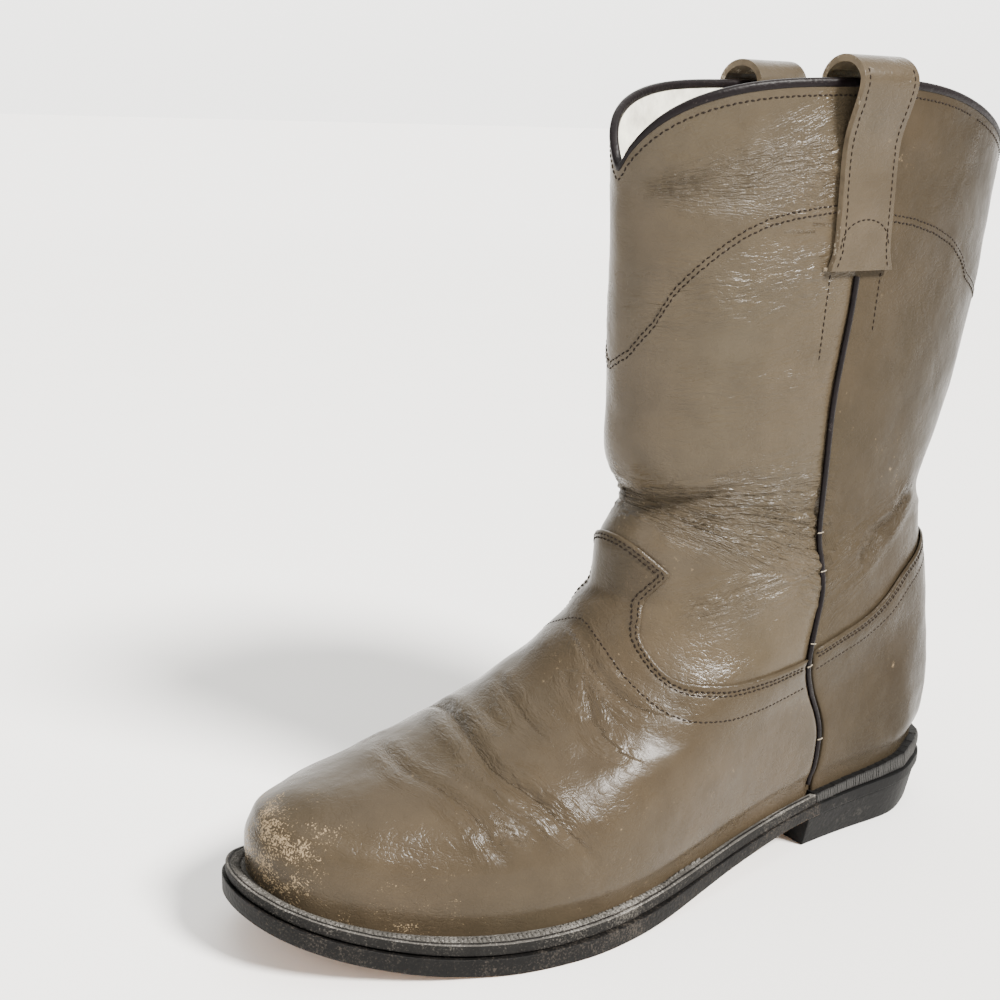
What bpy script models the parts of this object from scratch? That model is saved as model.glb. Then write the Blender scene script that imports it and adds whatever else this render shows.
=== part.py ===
"""Left roper boot, men's size 10 or so, in metres, +Z up, toe towards -Y, outer side towards +X.

The origin is the centre of the heel's tread on the floor. Most places are given by their
reach, the distance forward from the back edge of the sole, and their height above the floor.
The upper is one hollow wall, lofted through sections that run from the back of the boot
round to its front. The vamp and the counter are layers cut from that same surface.
"""

import math
from collections import namedtuple

import bmesh
import bpy
from mathutils import Vector

# Sole
SOLE_LENGTH = 0.300
BALL_WIDTH = 0.105
HEEL_LENGTH = 0.082
HEEL_HEIGHT = 0.013
SEAT_RISE = 0.0035
TREAD_START = 0.186
TREAD_END = 0.224
TOE_SPRING = 0.019
OUTSOLE_THICKNESS = 0.0065
WAIST_THICKNESS = 0.0045
HEEL_TOP_INSET = 0.0008
HEEL_TREAD_INSET = 0.0038
WELT_THICKNESS = 0.0042
WELT_EDGE_INSET = 0.0006
RAND_HEIGHT = 0.0075
RAND_EDGE_INSET = 0.0012
INSOLE_THICKNESS = 0.0030

# Upper
INSTEP_HEIGHT = 0.108
SHAFT_HEIGHT = 0.284
SHAFT_DEPTH = 0.168
SHAFT_WIDTH = 0.064
SHAFT_LEAN = 0.008
SHAFT_TWIST = 0.010
COLLAR_OVERHANG = 0.0105
FRONT_DIP = 0.029
BACK_DIP = 0.0265
UPPER_WALL = 0.0022
OVERLAY_THICKNESS = 0.0012
OVAL_POWER = 0.92
SCALLOP_FRONT_POWER = 1.7
SCALLOP_BACK_POWER = 1.5

# Trim
PIPING_RADIUS = 0.0014
STRAP_WIDTH = 0.0235
STRAP_FOOT_WIDTH = 0.028
STRAP_FOOT_LENGTH = 0.007
STRAP_THICKNESS = 0.0024
STRAP_DROP = 0.0625
STRAP_INNER_DROP = 0.040
STRAP_BOW = 0.022
FINGER_GAP = 0.0075
STRAP_RISE = 0.0025
STRAP_LINING_GAP = 0.0010

# Clearance between pieces that touch
GAP = 0.0003

# Mesh density
BACK_COLUMNS = 7
FRONT_COLUMNS = 12
SOLE_COLUMNS = 40
HEEL_COLUMNS = 12
BEAD_RESOLUTION = 1
EDGE_STEPS = 4
STRAP_SHARES = (-1.0, -0.5, 0.0, 0.5, 1.0)

# Small steps in angle and in level for directions, and rounds of each search
ANGLE_STEP = 0.01
LEVEL_STEP = 0.02
SEAM_ROUNDS = 12
HEIGHT_ROUNDS = 16
REACH_ROUNDS = 4

# Where the boot's frame lies along its length
HEEL_CENTRE = HEEL_LENGTH / 2

# How far the ridge of the foot moves towards the big toe, as a share of the ball width, and
# where along the sole it starts and ends, as shares of the sole's length
RIDGE_SHIFT = -0.045
RIDGE_SHIFT_START = 0.45
RIDGE_SHIFT_END = 0.70

# The sole's outline: half is a share of half the ball width, bend the sideways shift of its
# centre line as a share of the ball width, positive towards the outer side.
Outline = namedtuple("Outline", "station half bend")
OUTLINE = (
    Outline(0.00, 0.000, 0.000),
    Outline(0.05, 0.530, 0.000),
    Outline(0.15, 0.665, 0.002),
    Outline(0.27, 0.640, 0.028),
    Outline(0.38, 0.680, 0.048),
    Outline(0.50, 0.790, 0.056),
    Outline(0.60, 0.915, 0.046),
    Outline(0.71, 0.985, 0.008),
    Outline(0.80, 0.905, -0.028),
    Outline(0.88, 0.755, -0.050),
    Outline(0.95, 0.560, -0.066),
    Outline(1.00, 0.000, -0.064),
)

# Foot sections, feather line to ankle. Reaches are shares of the sole's length, rises are
# shares of the instep height above the top of the sole, half is a share of the ball width.
# oval turns the sole's outline into an oval, and follow carries the sole's own curve up.
FootSection = namedtuple("FootSection", "front front_rise back back_rise half oval follow")
FOOT_SECTIONS = (
    FootSection(0.968, 0.0075, 0.020, 0.0040, 0.422, 0.00, 1.00),
    FootSection(0.968, 0.064, 0.020, 0.090, 0.422, 0.00, 1.00),
    FootSection(0.969, 0.120, 0.014, 0.140, 0.440, 0.02, 1.00),
    FootSection(0.963, 0.205, 0.006, 0.220, 0.447, 0.05, 1.00),
    FootSection(0.936, 0.288, 0.004, 0.320, 0.440, 0.10, 0.95),
    FootSection(0.888, 0.362, 0.005, 0.420, 0.422, 0.20, 0.90),
    FootSection(0.812, 0.440, 0.008, 0.515, 0.402, 0.36, 0.80),
    FootSection(0.730, 0.520, 0.011, 0.605, 0.386, 0.56, 0.60),
    FootSection(0.656, 0.618, 0.017, 0.700, 0.372, 0.76, 0.40),
    FootSection(0.594, 0.738, 0.023, 0.790, 0.348, 0.90, 0.20),
    FootSection(0.551, 0.855, 0.030, 0.875, 0.332, 1.00, 0.10),
    FootSection(0.529, 0.960, 0.036, 0.950, 0.320, 1.00, 0.00),
)

# Shaft sections, ankle to collar. Reaches are shares of the shaft's depth from its back,
# heights shares of the way from the ankle to the collar, half is a share of its width.
ShaftSection = namedtuple("ShaftSection", "front front_up back back_up half scallop")
SHAFT_SECTIONS = (
    ShaftSection(1.008, 0.090, 0.128, 0.030, 0.510, 0.00),
    ShaftSection(0.960, 0.200, 0.150, 0.080, 0.514, 0.00),
    ShaftSection(1.000, 0.300, 0.134, 0.145, 0.518, 0.00),
    ShaftSection(1.014, 0.420, 0.085, 0.290, 0.522, 0.05),
    ShaftSection(1.026, 0.600, 0.046, 0.490, 0.522, 0.25),
    ShaftSection(1.036, 0.800, 0.014, 0.740, 0.512, 0.60),
    ShaftSection(1.046, 1.000, -0.008, 1.000, 0.500, 1.00),
)

# The side seam's reach as a share of the sole's length, by its height as a share of the
# shaft's.
SeamPoint = namedtuple("SeamPoint", "height reach")
SEAM_LINE = (
    SeamPoint(0.08, 0.268),
    SeamPoint(0.16, 0.266),
    SeamPoint(0.29, 0.313),
    SeamPoint(0.38, 0.293),
    SeamPoint(0.46, 0.302),
    SeamPoint(0.66, 0.305),
    SeamPoint(0.79, 0.289),
    SeamPoint(1.00, 0.290),
)

# The vamp's top edge on each side, seen from the side: reach is a share of the sole's length,
# height a share of the instep height. It runs from ahead of the tongue to the side seam.
EdgePoint = namedtuple("EdgePoint", "reach height")
TONGUE_TOP = (EdgePoint(0.640, 1.520), EdgePoint(0.487, 1.077))
VAMP_SCOOP = (
    EdgePoint(0.516, 0.955),
    EdgePoint(0.525, 0.860),
    EdgePoint(0.510, 0.775),
    EdgePoint(0.460, 0.738),
    EdgePoint(0.390, 0.738),
)
VAMP_AT_SEAM = 0.756
COUNTER_AT_SEAM = 0.788
COUNTER_EDGE = (
    EdgePoint(0.188, 0.869),
    EdgePoint(0.110, 0.985),
    EdgePoint(0.030, 1.060),
    EdgePoint(-0.120, 1.120),
)

Section = namedtuple("Section", "front_s front_z back_s back_z half oval follow scallop")


def lerp(a, b, share):
    return a + (b - a) * share


def smooth_step(share):
    share = min(max(share, 0.0), 1.0)
    return share * share * (3 - 2 * share)


def smooth_through(xs, ys, x):
    """A smooth curve through the points that never overshoots them."""
    if x <= xs[0]:
        return ys[0]
    if x >= xs[-1]:
        return ys[-1]
    slopes = [(ys[i + 1] - ys[i]) / (xs[i + 1] - xs[i]) for i in range(len(xs) - 1)]
    tangents = [slopes[0]]
    for before, after in zip(slopes, slopes[1:]):
        turning = before * after <= 0
        tangents.append(0.0 if turning else 2 * before * after / (before + after))
    tangents.append(slopes[-1])
    i = max(j for j in range(len(xs) - 1) if xs[j] <= x)
    width = xs[i + 1] - xs[i]
    u = (x - xs[i]) / width
    start = ys[i] + u * width * tangents[i]
    end = ys[i + 1] - (1 - u) * width * tangents[i + 1]
    return lerp(start, end, smooth_step(u))


def chord_share(angle):
    """How far along its chord a section is, at an angle from the back (0) to the front (pi)."""
    return (1 - math.cos(angle)) / 2


def chord_angle(share):
    return math.acos(1 - 2 * min(max(share, 0.0), 1.0))


OUTLINE_ANGLES = [chord_angle(point.station) for point in OUTLINE]
OUTLINE_HALVES = [point.half for point in OUTLINE]
OUTLINE_BENDS = [point.bend for point in OUTLINE]


def outline_half(angle):
    return smooth_through(OUTLINE_ANGLES, OUTLINE_HALVES, angle)


def outline_bend(angle):
    return smooth_through(OUTLINE_ANGLES, OUTLINE_BENDS, angle)


def place(x, reach, height):
    return Vector((x, HEEL_CENTRE - reach, height))


def sole_bottom(reach):
    """Height of the outsole's underside: the seat, the arch, the tread and the toe spring."""
    if reach <= HEEL_LENGTH:
        return HEEL_HEIGHT + SEAT_RISE * (1 - reach / HEEL_LENGTH)
    if reach < TREAD_START:
        span = TREAD_START - HEEL_LENGTH
        u = (reach - HEEL_LENGTH) / span
        seat_slope = -SEAT_RISE / HEEL_LENGTH * span
        return lerp(HEEL_HEIGHT + seat_slope * u * (1 - u), 0.0, smooth_step(u))
    if reach <= TREAD_END:
        return 0.0
    return TOE_SPRING * ((reach - TREAD_END) / (SOLE_LENGTH - TREAD_END)) ** 2


def sole_top(reach):
    forward = smooth_step((reach - HEEL_LENGTH) / (TREAD_START - HEEL_LENGTH))
    return sole_bottom(reach) + lerp(WAIST_THICKNESS, OUTSOLE_THICKNESS, forward)


def outline_point(angle, side, inset=0.0):
    """(x, reach) on the sole's outline, or on the outline moved in by inset."""

    def at(a):
        half = BALL_WIDTH / 2 * outline_half(a)
        return Vector((BALL_WIDTH * outline_bend(a) + side * half, SOLE_LENGTH * chord_share(a)))

    if inset == 0:
        return at(angle)
    before = at(max(angle - ANGLE_STEP, 0.0))
    after = at(min(angle + ANGLE_STEP, math.pi))
    along = after - before
    if angle < ANGLE_STEP:
        along = Vector((side, 0.0))
    if angle > math.pi - ANGLE_STEP:
        along = Vector((-side, 0.0))
    inward = Vector((-along.y, along.x)) * side
    return at(angle) + inward.normalized() * inset


def ring_angles(count):
    """(angle, side) round a closed outline: back, outer side, front, inner side."""
    outer = [(math.pi * i / count, 1) for i in range(count + 1)]
    inner = [(math.pi * i / count, -1) for i in range(count - 1, 0, -1)]
    return outer + inner


def foot_section(row):
    front_s = row.front * SOLE_LENGTH
    back_s = row.back * SOLE_LENGTH
    return Section(
        front_s,
        sole_top(front_s) + row.front_rise * INSTEP_HEIGHT,
        back_s,
        sole_top(back_s) + row.back_rise * INSTEP_HEIGHT,
        row.half * BALL_WIDTH,
        row.oval,
        row.follow,
        0.0,
    )


def shaft_section(row, ankle):
    return Section(
        row.front * SHAFT_DEPTH - COLLAR_OVERHANG,
        lerp(ankle.front_z, SHAFT_HEIGHT - FRONT_DIP, row.front_up),
        row.back * SHAFT_DEPTH - COLLAR_OVERHANG,
        lerp(ankle.back_z, SHAFT_HEIGHT - BACK_DIP, row.back_up),
        row.half * SHAFT_WIDTH,
        1.0,
        0.0,
        row.scallop,
    )


def all_sections():
    foot = [foot_section(row) for row in FOOT_SECTIONS]
    return foot + [shaft_section(row, foot[-1]) for row in SHAFT_SECTIONS]


SECTIONS = all_sections()
SECTION_INDEX = list(range(len(SECTIONS)))


def section_at(level):
    """The section at a level between 0, the feather line, and the last, the collar."""
    return Section(
        *(
            smooth_through(SECTION_INDEX, [getattr(s, name) for s in SECTIONS], level)
            for name in Section._fields
        )
    )


def seam_reach(height, side):
    """The seam's reach on one side. Above the instep the shaft's twist carries the inner
    one back."""
    heights = [point.height * SHAFT_HEIGHT for point in SEAM_LINE]
    reaches = [point.reach * SOLE_LENGTH for point in SEAM_LINE]
    reach = smooth_through(heights, reaches, height)
    if side < 0:
        up = (height - INSTEP_HEIGHT) / (SHAFT_HEIGHT - INSTEP_HEIGHT)
        reach -= SHAFT_TWIST * smooth_step(up)
    return reach


def scallop_rise(section, angle):
    """How far the collar's curve stands above the chord from back to front."""
    peak = SHAFT_HEIGHT - lerp(section.back_z, section.front_z, 0.5)
    side = math.sin(angle)
    if angle > math.pi / 2:
        shape = 1 - (1 - side) ** SCALLOP_FRONT_POWER
    else:
        shape = side**SCALLOP_BACK_POWER
    return section.scallop * peak * shape


def ridge_shift(reach):
    """Sideways place of the foot's ridge: the toe turns in towards the big toe."""
    along = (reach / SOLE_LENGTH - RIDGE_SHIFT_START) / (RIDGE_SHIFT_END - RIDGE_SHIFT_START)
    return RIDGE_SHIFT * BALL_WIDTH * smooth_step(along)


def upper_point(section, angle, side):
    share = chord_share(angle)
    reach = lerp(section.back_s, section.front_s, share)
    sole_chord = lerp(sole_top(section.back_s), sole_top(section.front_s), share)
    height = (
        lerp(section.back_z, section.front_z, share)
        + section.follow * (sole_top(reach) - sole_chord)
        + scallop_rise(section, angle)
    )
    oval = max(math.sin(angle), 0.0) ** OVAL_POWER
    half = section.half * lerp(outline_half(angle), oval, section.oval)
    bend = BALL_WIDTH * outline_bend(angle)
    lean = SHAFT_LEAN * smooth_step(height / SHAFT_HEIGHT)
    centre = lerp(bend, ridge_shift(reach), section.oval) + lean
    return place(centre + side * half, reach, height)


def angle_at_reach(section, reach):
    return chord_angle((reach - section.back_s) / (section.front_s - section.back_s))


def seam_angle(section, side):
    """The angle at which a section crosses the side seam."""
    angle = math.pi / 2
    for _ in range(SEAM_ROUNDS):
        height = upper_point(section, angle, side).z
        angle = angle_at_reach(section, seam_reach(height, side))
    return angle


def half_angles(section, side):
    seam = seam_angle(section, side)
    angles = [seam * i / BACK_COLUMNS for i in range(BACK_COLUMNS)]
    return angles + [lerp(seam, math.pi, i / FRONT_COLUMNS) for i in range(FRONT_COLUMNS + 1)]


def column_angles(section):
    """(angle, side) round a section. The column BACK_COLUMNS on each side is its side seam."""
    outer = [(angle, 1) for angle in half_angles(section, 1)]
    inner = [(angle, -1) for angle in half_angles(section, -1)[-2:0:-1]]
    return outer + inner


def upper_levels():
    """Levels of the mesh's rows: two to each section where the boot bends, then one."""
    bent = len(FOOT_SECTIONS) + 2
    lower = [1 + i / 2 for i in range(2 * (bent - 1) + 1)]
    return [0.0] + lower + [float(i) for i in range(bent + 1, len(SECTIONS))]


def upper_rings():
    rings = []
    for level in upper_levels():
        section = section_at(level)
        rings.append([upper_point(section, a, side) for a, side in column_angles(section)])
    return rings


RINGS = upper_rings()
COLUMNS = len(RINGS[0])
SEAM_COLUMNS = {1: BACK_COLUMNS, -1: COLUMNS - BACK_COLUMNS}


def surface_normal(row, column):
    """Outward normal of the upper's surface at a point of its mesh."""
    above = RINGS[min(row + 1, len(RINGS) - 1)][column]
    below = RINGS[max(row - 1, 0)][column]
    ahead = RINGS[row][(column + 1) % COLUMNS]
    behind = RINGS[row][(column - 1) % COLUMNS]
    return (above - below).cross(ahead - behind).normalized()


def on_surface(row, column, offset):
    return RINGS[row][column] + surface_normal(row, column) * offset


def offset_ring(points, distance):
    """A ring moved outward, level, by a distance."""
    moved = []
    for i, point in enumerate(points):
        along = points[(i + 1) % len(points)] - points[i - 1]
        outward = Vector((-along.y, along.x, 0.0)).normalized()
        moved.append(point + outward * distance)
    return moved


def clear_scene():
    for obj in list(bpy.data.objects):
        bpy.data.objects.remove(obj, do_unlink=True)


def make_collection(name):
    collection = bpy.data.collections.new(name)
    bpy.context.scene.collection.children.link(collection)
    return collection


def make_material(name, colour, roughness):
    material = bpy.data.materials.new(name)
    material.use_nodes = True
    shader = material.node_tree.nodes["Principled BSDF"]
    shader.inputs["Base Color"].default_value = (*colour, 1.0)
    shader.inputs["Roughness"].default_value = roughness
    return material


def make_object(name, mesh, material, collection):
    obj = bpy.data.objects.new(name, mesh)
    collection.objects.link(obj)
    mesh.materials.clear()
    mesh.materials.append(material)
    return obj


def finish_mesh(name, bm, smooth_angle=math.radians(35)):
    bmesh.ops.recalc_face_normals(bm, faces=bm.faces)
    mesh = bpy.data.meshes.new(name)
    bm.to_mesh(mesh)
    bm.free()
    mesh.shade_smooth()
    mesh.set_sharp_from_angle(angle=smooth_angle)
    return mesh


def loft_between(rings):
    """A solid through closed rings that run back, outer side, front, inner side. The first and
    the last are closed by strips straight across."""
    bm = bmesh.new()
    rows = [[bm.verts.new(point) for point in ring] for ring in rings]
    count = len(rings[0])
    for lower, upper in zip(rows, rows[1:]):
        for i in range(count):
            j = (i + 1) % count
            bm.faces.new((lower[i], lower[j], upper[j], upper[i]))
    for row in (rows[0], rows[-1]):
        for i in range(count // 2):
            corners = [row[i], row[i + 1], row[count - i - 1], row[-i]]
            bm.faces.new(dict.fromkeys(corners))
    return bm


def sweep_sections(sections):
    """A solid through closed sections that stand along a path, with flat ends."""
    bm = bmesh.new()
    rows = [[bm.verts.new(point) for point in section] for section in sections]
    count = len(sections[0])
    for first, second in zip(rows, rows[1:]):
        for i in range(count):
            j = (i + 1) % count
            bm.faces.new((first[i], first[j], second[j], second[i]))
    bm.faces.new(rows[0])
    bm.faces.new(rows[-1])
    return bm


def surface_mesh(name, last_row, offset=0.0):
    """The upper's surface as an open sheet, moved out by offset, up to a row of its mesh. The
    triangles are split alike on every layer, so that the layers never cross."""
    bm = bmesh.new()
    rows = [
        [bm.verts.new(on_surface(row, column, offset)) for column in range(COLUMNS)]
        for row in range(last_row + 1)
    ]
    for lower, upper in zip(rows, rows[1:]):
        for i in range(COLUMNS):
            j = (i + 1) % COLUMNS
            if i < COLUMNS / 2:
                halves = ((lower[i], lower[j], upper[j]), (lower[i], upper[j], upper[i]))
            else:
                halves = ((lower[i], lower[j], upper[i]), (lower[j], upper[j], upper[i]))
            for corners in halves:
                bm.faces.new(corners)
    bmesh.ops.recalc_face_normals(bm, faces=bm.faces)
    mesh = bpy.data.meshes.new(name)
    bm.to_mesh(mesh)
    bm.free()
    mesh.shade_smooth()
    return mesh


def thicken(obj, thickness, outward):
    wall = obj.modifiers.new("Wall", "SOLIDIFY")
    wall.thickness = thickness
    wall.offset = 1.0 if outward else -1.0
    wall.use_even_offset = True
    wall.use_rim = True
    return wall


def make_upper(material, collection):
    mesh = surface_mesh("upper", len(RINGS) - 1)
    upper = make_object("upper", mesh, material, collection)
    thicken(upper, UPPER_WALL, outward=False)
    return upper


def side_outline(name, points, cutters):
    """A prism across the boot from a closed outline of (reach, height) points."""
    curve = bpy.data.curves.new(name, "CURVE")
    curve.dimensions = "2D"
    curve.fill_mode = "BOTH"
    curve.extrude = BALL_WIDTH
    spline = curve.splines.new("POLY")
    spline.points.add(len(points) - 1)
    for target, (reach, height) in zip(spline.points, points):
        target.co = (reach, height, 0.0, 1.0)
    spline.use_cyclic_u = True
    guide = bpy.data.objects.new(name + "_outline", curve)
    cutters.objects.link(guide)
    guide.rotation_euler = (math.radians(90), 0.0, math.radians(-90))
    guide.location = (0.0, HEEL_CENTRE, 0.0)
    bpy.context.view_layer.update()
    evaluated = guide.evaluated_get(bpy.context.evaluated_depsgraph_get())
    mesh = bpy.data.meshes.new_from_object(evaluated)
    bm = bmesh.new()
    bm.from_mesh(mesh)
    bmesh.ops.remove_doubles(bm, verts=bm.verts, dist=1e-6)
    bmesh.ops.recalc_face_normals(bm, faces=bm.faces)
    bm.to_mesh(mesh)
    bm.free()
    cutter = bpy.data.objects.new(name + "_cutter", mesh)
    cutter.matrix_world = guide.matrix_world.copy()
    cutters.objects.link(cutter)
    cutter.hide_render = True
    cutter.display_type = "WIRE"
    bpy.data.objects.remove(guide, do_unlink=True)
    return cutter


def seam_edge(top, side):
    """The side of a cut along the seam, from below the sole to a height. side is 1 ahead."""
    slot = side * (PIPING_RADIUS + 2 * GAP)
    path = [RINGS[row][BACK_COLUMNS] for row in range(len(RINGS))]
    last = point_at_height(path, top)
    below = Vector((0.0, path[0].y, -TOE_SPRING))
    points = [below] + [point for point in path if point.z < top] + [last]
    return [(HEEL_CENTRE - point.y + slot, point.z) for point in points]


def scaled(points):
    return [(p.reach * SOLE_LENGTH, p.height * INSTEP_HEIGHT) for p in points]


def rounded(points):
    """Points on a smooth curve through the given ones."""
    curve = []
    for i in range(len(points) - 1):
        before = points[max(i - 1, 0)]
        after = points[min(i + 2, len(points) - 1)]
        for k in range(EDGE_STEPS):
            u = k / EDGE_STEPS
            weights = (
                (-u + 2 * u**2 - u**3) / 2,
                (2 - 5 * u**2 + 3 * u**3) / 2,
                (u + 4 * u**2 - 3 * u**3) / 2,
                (u**3 - u**2) / 2,
            )
            corners = (before, points[i], points[i + 1], after)
            curve.append(tuple(sum(w * c[n] for w, c in zip(weights, corners)) for n in (0, 1)))
    return curve + [points[-1]]


def vamp_outline():
    seam = seam_edge(VAMP_AT_SEAM * INSTEP_HEIGHT, 1)
    tongue = scaled(TONGUE_TOP)
    scoop = rounded([tongue[-1]] + scaled(VAMP_SCOOP) + [seam[-1]])
    ahead = SOLE_LENGTH + BALL_WIDTH
    front = [(ahead, seam[0][1]), (ahead, tongue[0][1])]
    return seam + scoop[::-1][1:] + tongue[:1] + front[::-1]


def counter_outline():
    seam = seam_edge(COUNTER_AT_SEAM * INSTEP_HEIGHT, -1)
    edge = rounded([seam[-1]] + scaled(COUNTER_EDGE))
    behind = edge[-1][0]
    return seam + edge[1:] + [(behind, seam[0][1])]


def overlay_rows():
    """The last row of the mesh that the vamp and the counter may reach."""
    return next(i for i, level in enumerate(upper_levels()) if level >= len(FOOT_SECTIONS) + 1)


def make_overlay(name, outline, material, collection, cutters):
    """A layer of leather on the upper, cut to its outline as seen from the side."""
    mesh = surface_mesh(name, overlay_rows(), offset=GAP)
    overlay = make_object(name, mesh, material, collection)
    thicken(overlay, OVERLAY_THICKNESS, outward=True)
    cut = overlay.modifiers.new("Outline", "BOOLEAN")
    cut.operation = "INTERSECT"
    cut.object = side_outline(name, outline, cutters)
    return overlay


def make_tube(name, points, radius, cyclic, material, collection):
    curve = bpy.data.curves.new(name, "CURVE")
    curve.dimensions = "3D"
    curve.bevel_depth = radius
    curve.bevel_resolution = BEAD_RESOLUTION
    curve.use_fill_caps = not cyclic
    spline = curve.splines.new("POLY")
    spline.points.add(len(points) - 1)
    for target, point in zip(spline.points, points):
        target.co = (*point, 1.0)
    spline.use_cyclic_u = cyclic
    curve.materials.append(material)
    tube = bpy.data.objects.new(name, curve)
    collection.objects.link(tube)
    return tube


def strap_bottom():
    return SHAFT_HEIGHT - STRAP_DROP


def make_side_piping(name, side, material, collection):
    """The cord in the side seam, from just above the welt to just under the pull strap."""
    column = SEAM_COLUMNS[side]
    offset = PIPING_RADIUS + GAP
    path = [on_surface(row, column, offset) for row in range(len(RINGS))]
    lowest = path[0].z + rand_height(HEEL_CENTRE - path[0].y) + PIPING_RADIUS
    highest = strap_bottom() - PIPING_RADIUS - GAP
    inside = [point for point in path if lowest < point.z < highest]
    start = point_at_height(path, lowest)
    end = point_at_height(path, highest)
    return make_tube(name, [start] + inside + [end], PIPING_RADIUS, False, material, collection)


def point_at_height(path, height):
    for lower, upper in zip(path, path[1:]):
        if lower.z <= height <= upper.z:
            return lower.lerp(upper, (height - lower.z) / (upper.z - lower.z))
    return path[-1].copy()


def collar_frame(column):
    """The middle of the wall's rim at a column, and the way up off the rim there."""
    top = len(RINGS) - 1
    middle = on_surface(top, column, -UPPER_WALL / 2)
    along = RINGS[top][(column + 1) % COLUMNS] - RINGS[top][column - 1]
    up = along.cross(surface_normal(top, column)).normalized()
    return middle, up


def make_collar_piping(material, collection):
    path = []
    for column in range(COLUMNS):
        middle, up = collar_frame(column)
        path.append(middle + up * (PIPING_RADIUS + GAP))
    return make_tube("collar_piping", path, PIPING_RADIUS, True, material, collection)


def shaft_point(level, angle, side, offset):
    """A point on the shaft at a level and an angle, moved along the outward normal."""
    top = len(SECTIONS) - 1
    section = section_at(level)
    here = upper_point(section, angle, side)
    above = upper_point(section_at(min(level + LEVEL_STEP, top)), angle, side)
    below = upper_point(section_at(level - LEVEL_STEP), angle, side)
    ahead = upper_point(section, angle + ANGLE_STEP, side)
    behind = upper_point(section, angle - ANGLE_STEP, side)
    normal = (above - below).cross(ahead - behind).normalized() * side
    return here + normal * offset


def level_at_height(height, angle, side):
    low, high = len(FOOT_SECTIONS) - 1.0, len(SECTIONS) - 1.0
    for _ in range(HEIGHT_ROUNDS):
        middle = (low + high) / 2
        if upper_point(section_at(middle), angle, side).z < height:
            low = middle
        else:
            high = middle
    return low


def shaft_point_at(reach, height, side, offset):
    """A point of the shaft by its reach and height, moved along the outward normal."""
    angle = math.pi / 2
    for _ in range(REACH_ROUNDS):
        level = level_at_height(height, angle, side)
        angle = angle_at_reach(section_at(level), reach)
    return shaft_point(level, angle, side, offset)


def strap_half_width(height):
    """The strap flares into a foot at its lower end."""
    up = smooth_step((height - strap_bottom()) / STRAP_FOOT_LENGTH)
    return lerp(STRAP_FOOT_WIDTH, STRAP_WIDTH, up) / 2


def strap_bow(height):
    """How far the strap stands off the shaft, which leaves the finger gap at the collar."""
    return FINGER_GAP * smooth_step((height - SHAFT_HEIGHT + STRAP_BOW) / STRAP_BOW)


def strap_line(share, side, offset):
    """One lengthwise line of a pull strap: up the outside, over the collar, down the inside.
    share is its place across the strap, -1 to 1, and offset its place in the thickness."""
    top = section_at(len(SECTIONS) - 1)
    lying = GAP + offset
    line = []
    foot_steps, outside_steps, arc_steps, inside_steps = 2, 7, 8, 4
    foot_top = strap_bottom() + STRAP_FOOT_LENGTH
    heights = [lerp(strap_bottom(), foot_top, i / foot_steps) for i in range(foot_steps)]
    rim = SHAFT_HEIGHT - PIPING_RADIUS
    heights += [lerp(foot_top, rim, i / outside_steps) for i in range(outside_steps)]
    for height in heights:
        reach = seam_reach(height, side) + share * strap_half_width(height)
        line.append(shaft_point_at(reach, height, side, lying + strap_bow(height)))
    reach = seam_reach(SHAFT_HEIGHT, side) + share * STRAP_WIDTH / 2
    angle = angle_at_reach(top, reach)
    outward = shaft_point(len(SECTIONS) - 1, angle, side, 1.0) - upper_point(top, angle, side)
    outward.z = 0.0
    outward.normalize()
    middle = upper_point(top, angle, side) - outward * (UPPER_WALL / 2)
    middle.z = rim
    half_gap = UPPER_WALL / 2 + FINGER_GAP + lying
    rise = 3 * PIPING_RADIUS + GAP + STRAP_RISE + offset
    for i in range(arc_steps + 1):
        turn = math.pi * i / arc_steps
        shift = Vector((0.0, 0.0, math.sin(turn) * rise))
        line.append(middle + outward * (math.cos(turn) * half_gap) + shift)
    for i in range(1, inside_steps + 1):
        height = lerp(rim, SHAFT_HEIGHT - STRAP_INNER_DROP, i / inside_steps)
        reach = seam_reach(height, side) + share * STRAP_WIDTH / 2
        inset = -UPPER_WALL - STRAP_LINING_GAP - offset - strap_bow(height)
        line.append(shaft_point_at(reach, height, side, inset))
    return line


def make_pull_strap(name, side, material, collection):
    """A band over the collar at the side seam, stitched down on both faces of the shaft."""
    lower = [strap_line(share, side, 0.0) for share in STRAP_SHARES]
    upper = [strap_line(share, side, STRAP_THICKNESS) for share in STRAP_SHARES]
    sections = [
        [line[i] for line in lower] + [line[i] for line in reversed(upper)]
        for i in range(len(lower[0]))
    ]
    bm = sweep_sections(sections)
    return make_object(name, finish_mesh(name, bm), material, collection)


def make_outsole(material, collection):
    rings = []
    for height in (sole_bottom, sole_top):
        ring = []
        for angle, side in ring_angles(SOLE_COLUMNS):
            x, reach = outline_point(angle, side)
            ring.append(place(x, reach, height(reach)))
        rings.append(ring)
    bm = loft_between(rings)
    return make_object("outsole", finish_mesh("outsole", bm), material, collection)


def heel_ring(inset, height):
    """The heel's outline, from its back round the outer side and across the breast."""
    last = chord_angle(HEEL_LENGTH / SOLE_LENGTH)
    angles = [last * i / HEEL_COLUMNS for i in range(HEEL_COLUMNS + 1)]
    outer = [outline_point(a, 1, inset) for a in angles]
    inner = [outline_point(a, -1, inset) for a in angles[:0:-1]]
    breast = Vector(((outer[-1].x + inner[0].x) / 2, HEEL_LENGTH))
    outer[-1].y = HEEL_LENGTH
    inner[0].y = HEEL_LENGTH
    return [place(x, reach, height(reach)) for x, reach in outer + [breast] + inner]


def make_heel(material, collection):
    rings = [
        heel_ring(HEEL_TREAD_INSET, lambda reach: 0.0),
        heel_ring(HEEL_TOP_INSET, lambda reach: sole_bottom(reach) - GAP),
    ]
    bm = loft_between(rings)
    return make_object("heel", finish_mesh("heel", bm), material, collection)


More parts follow.
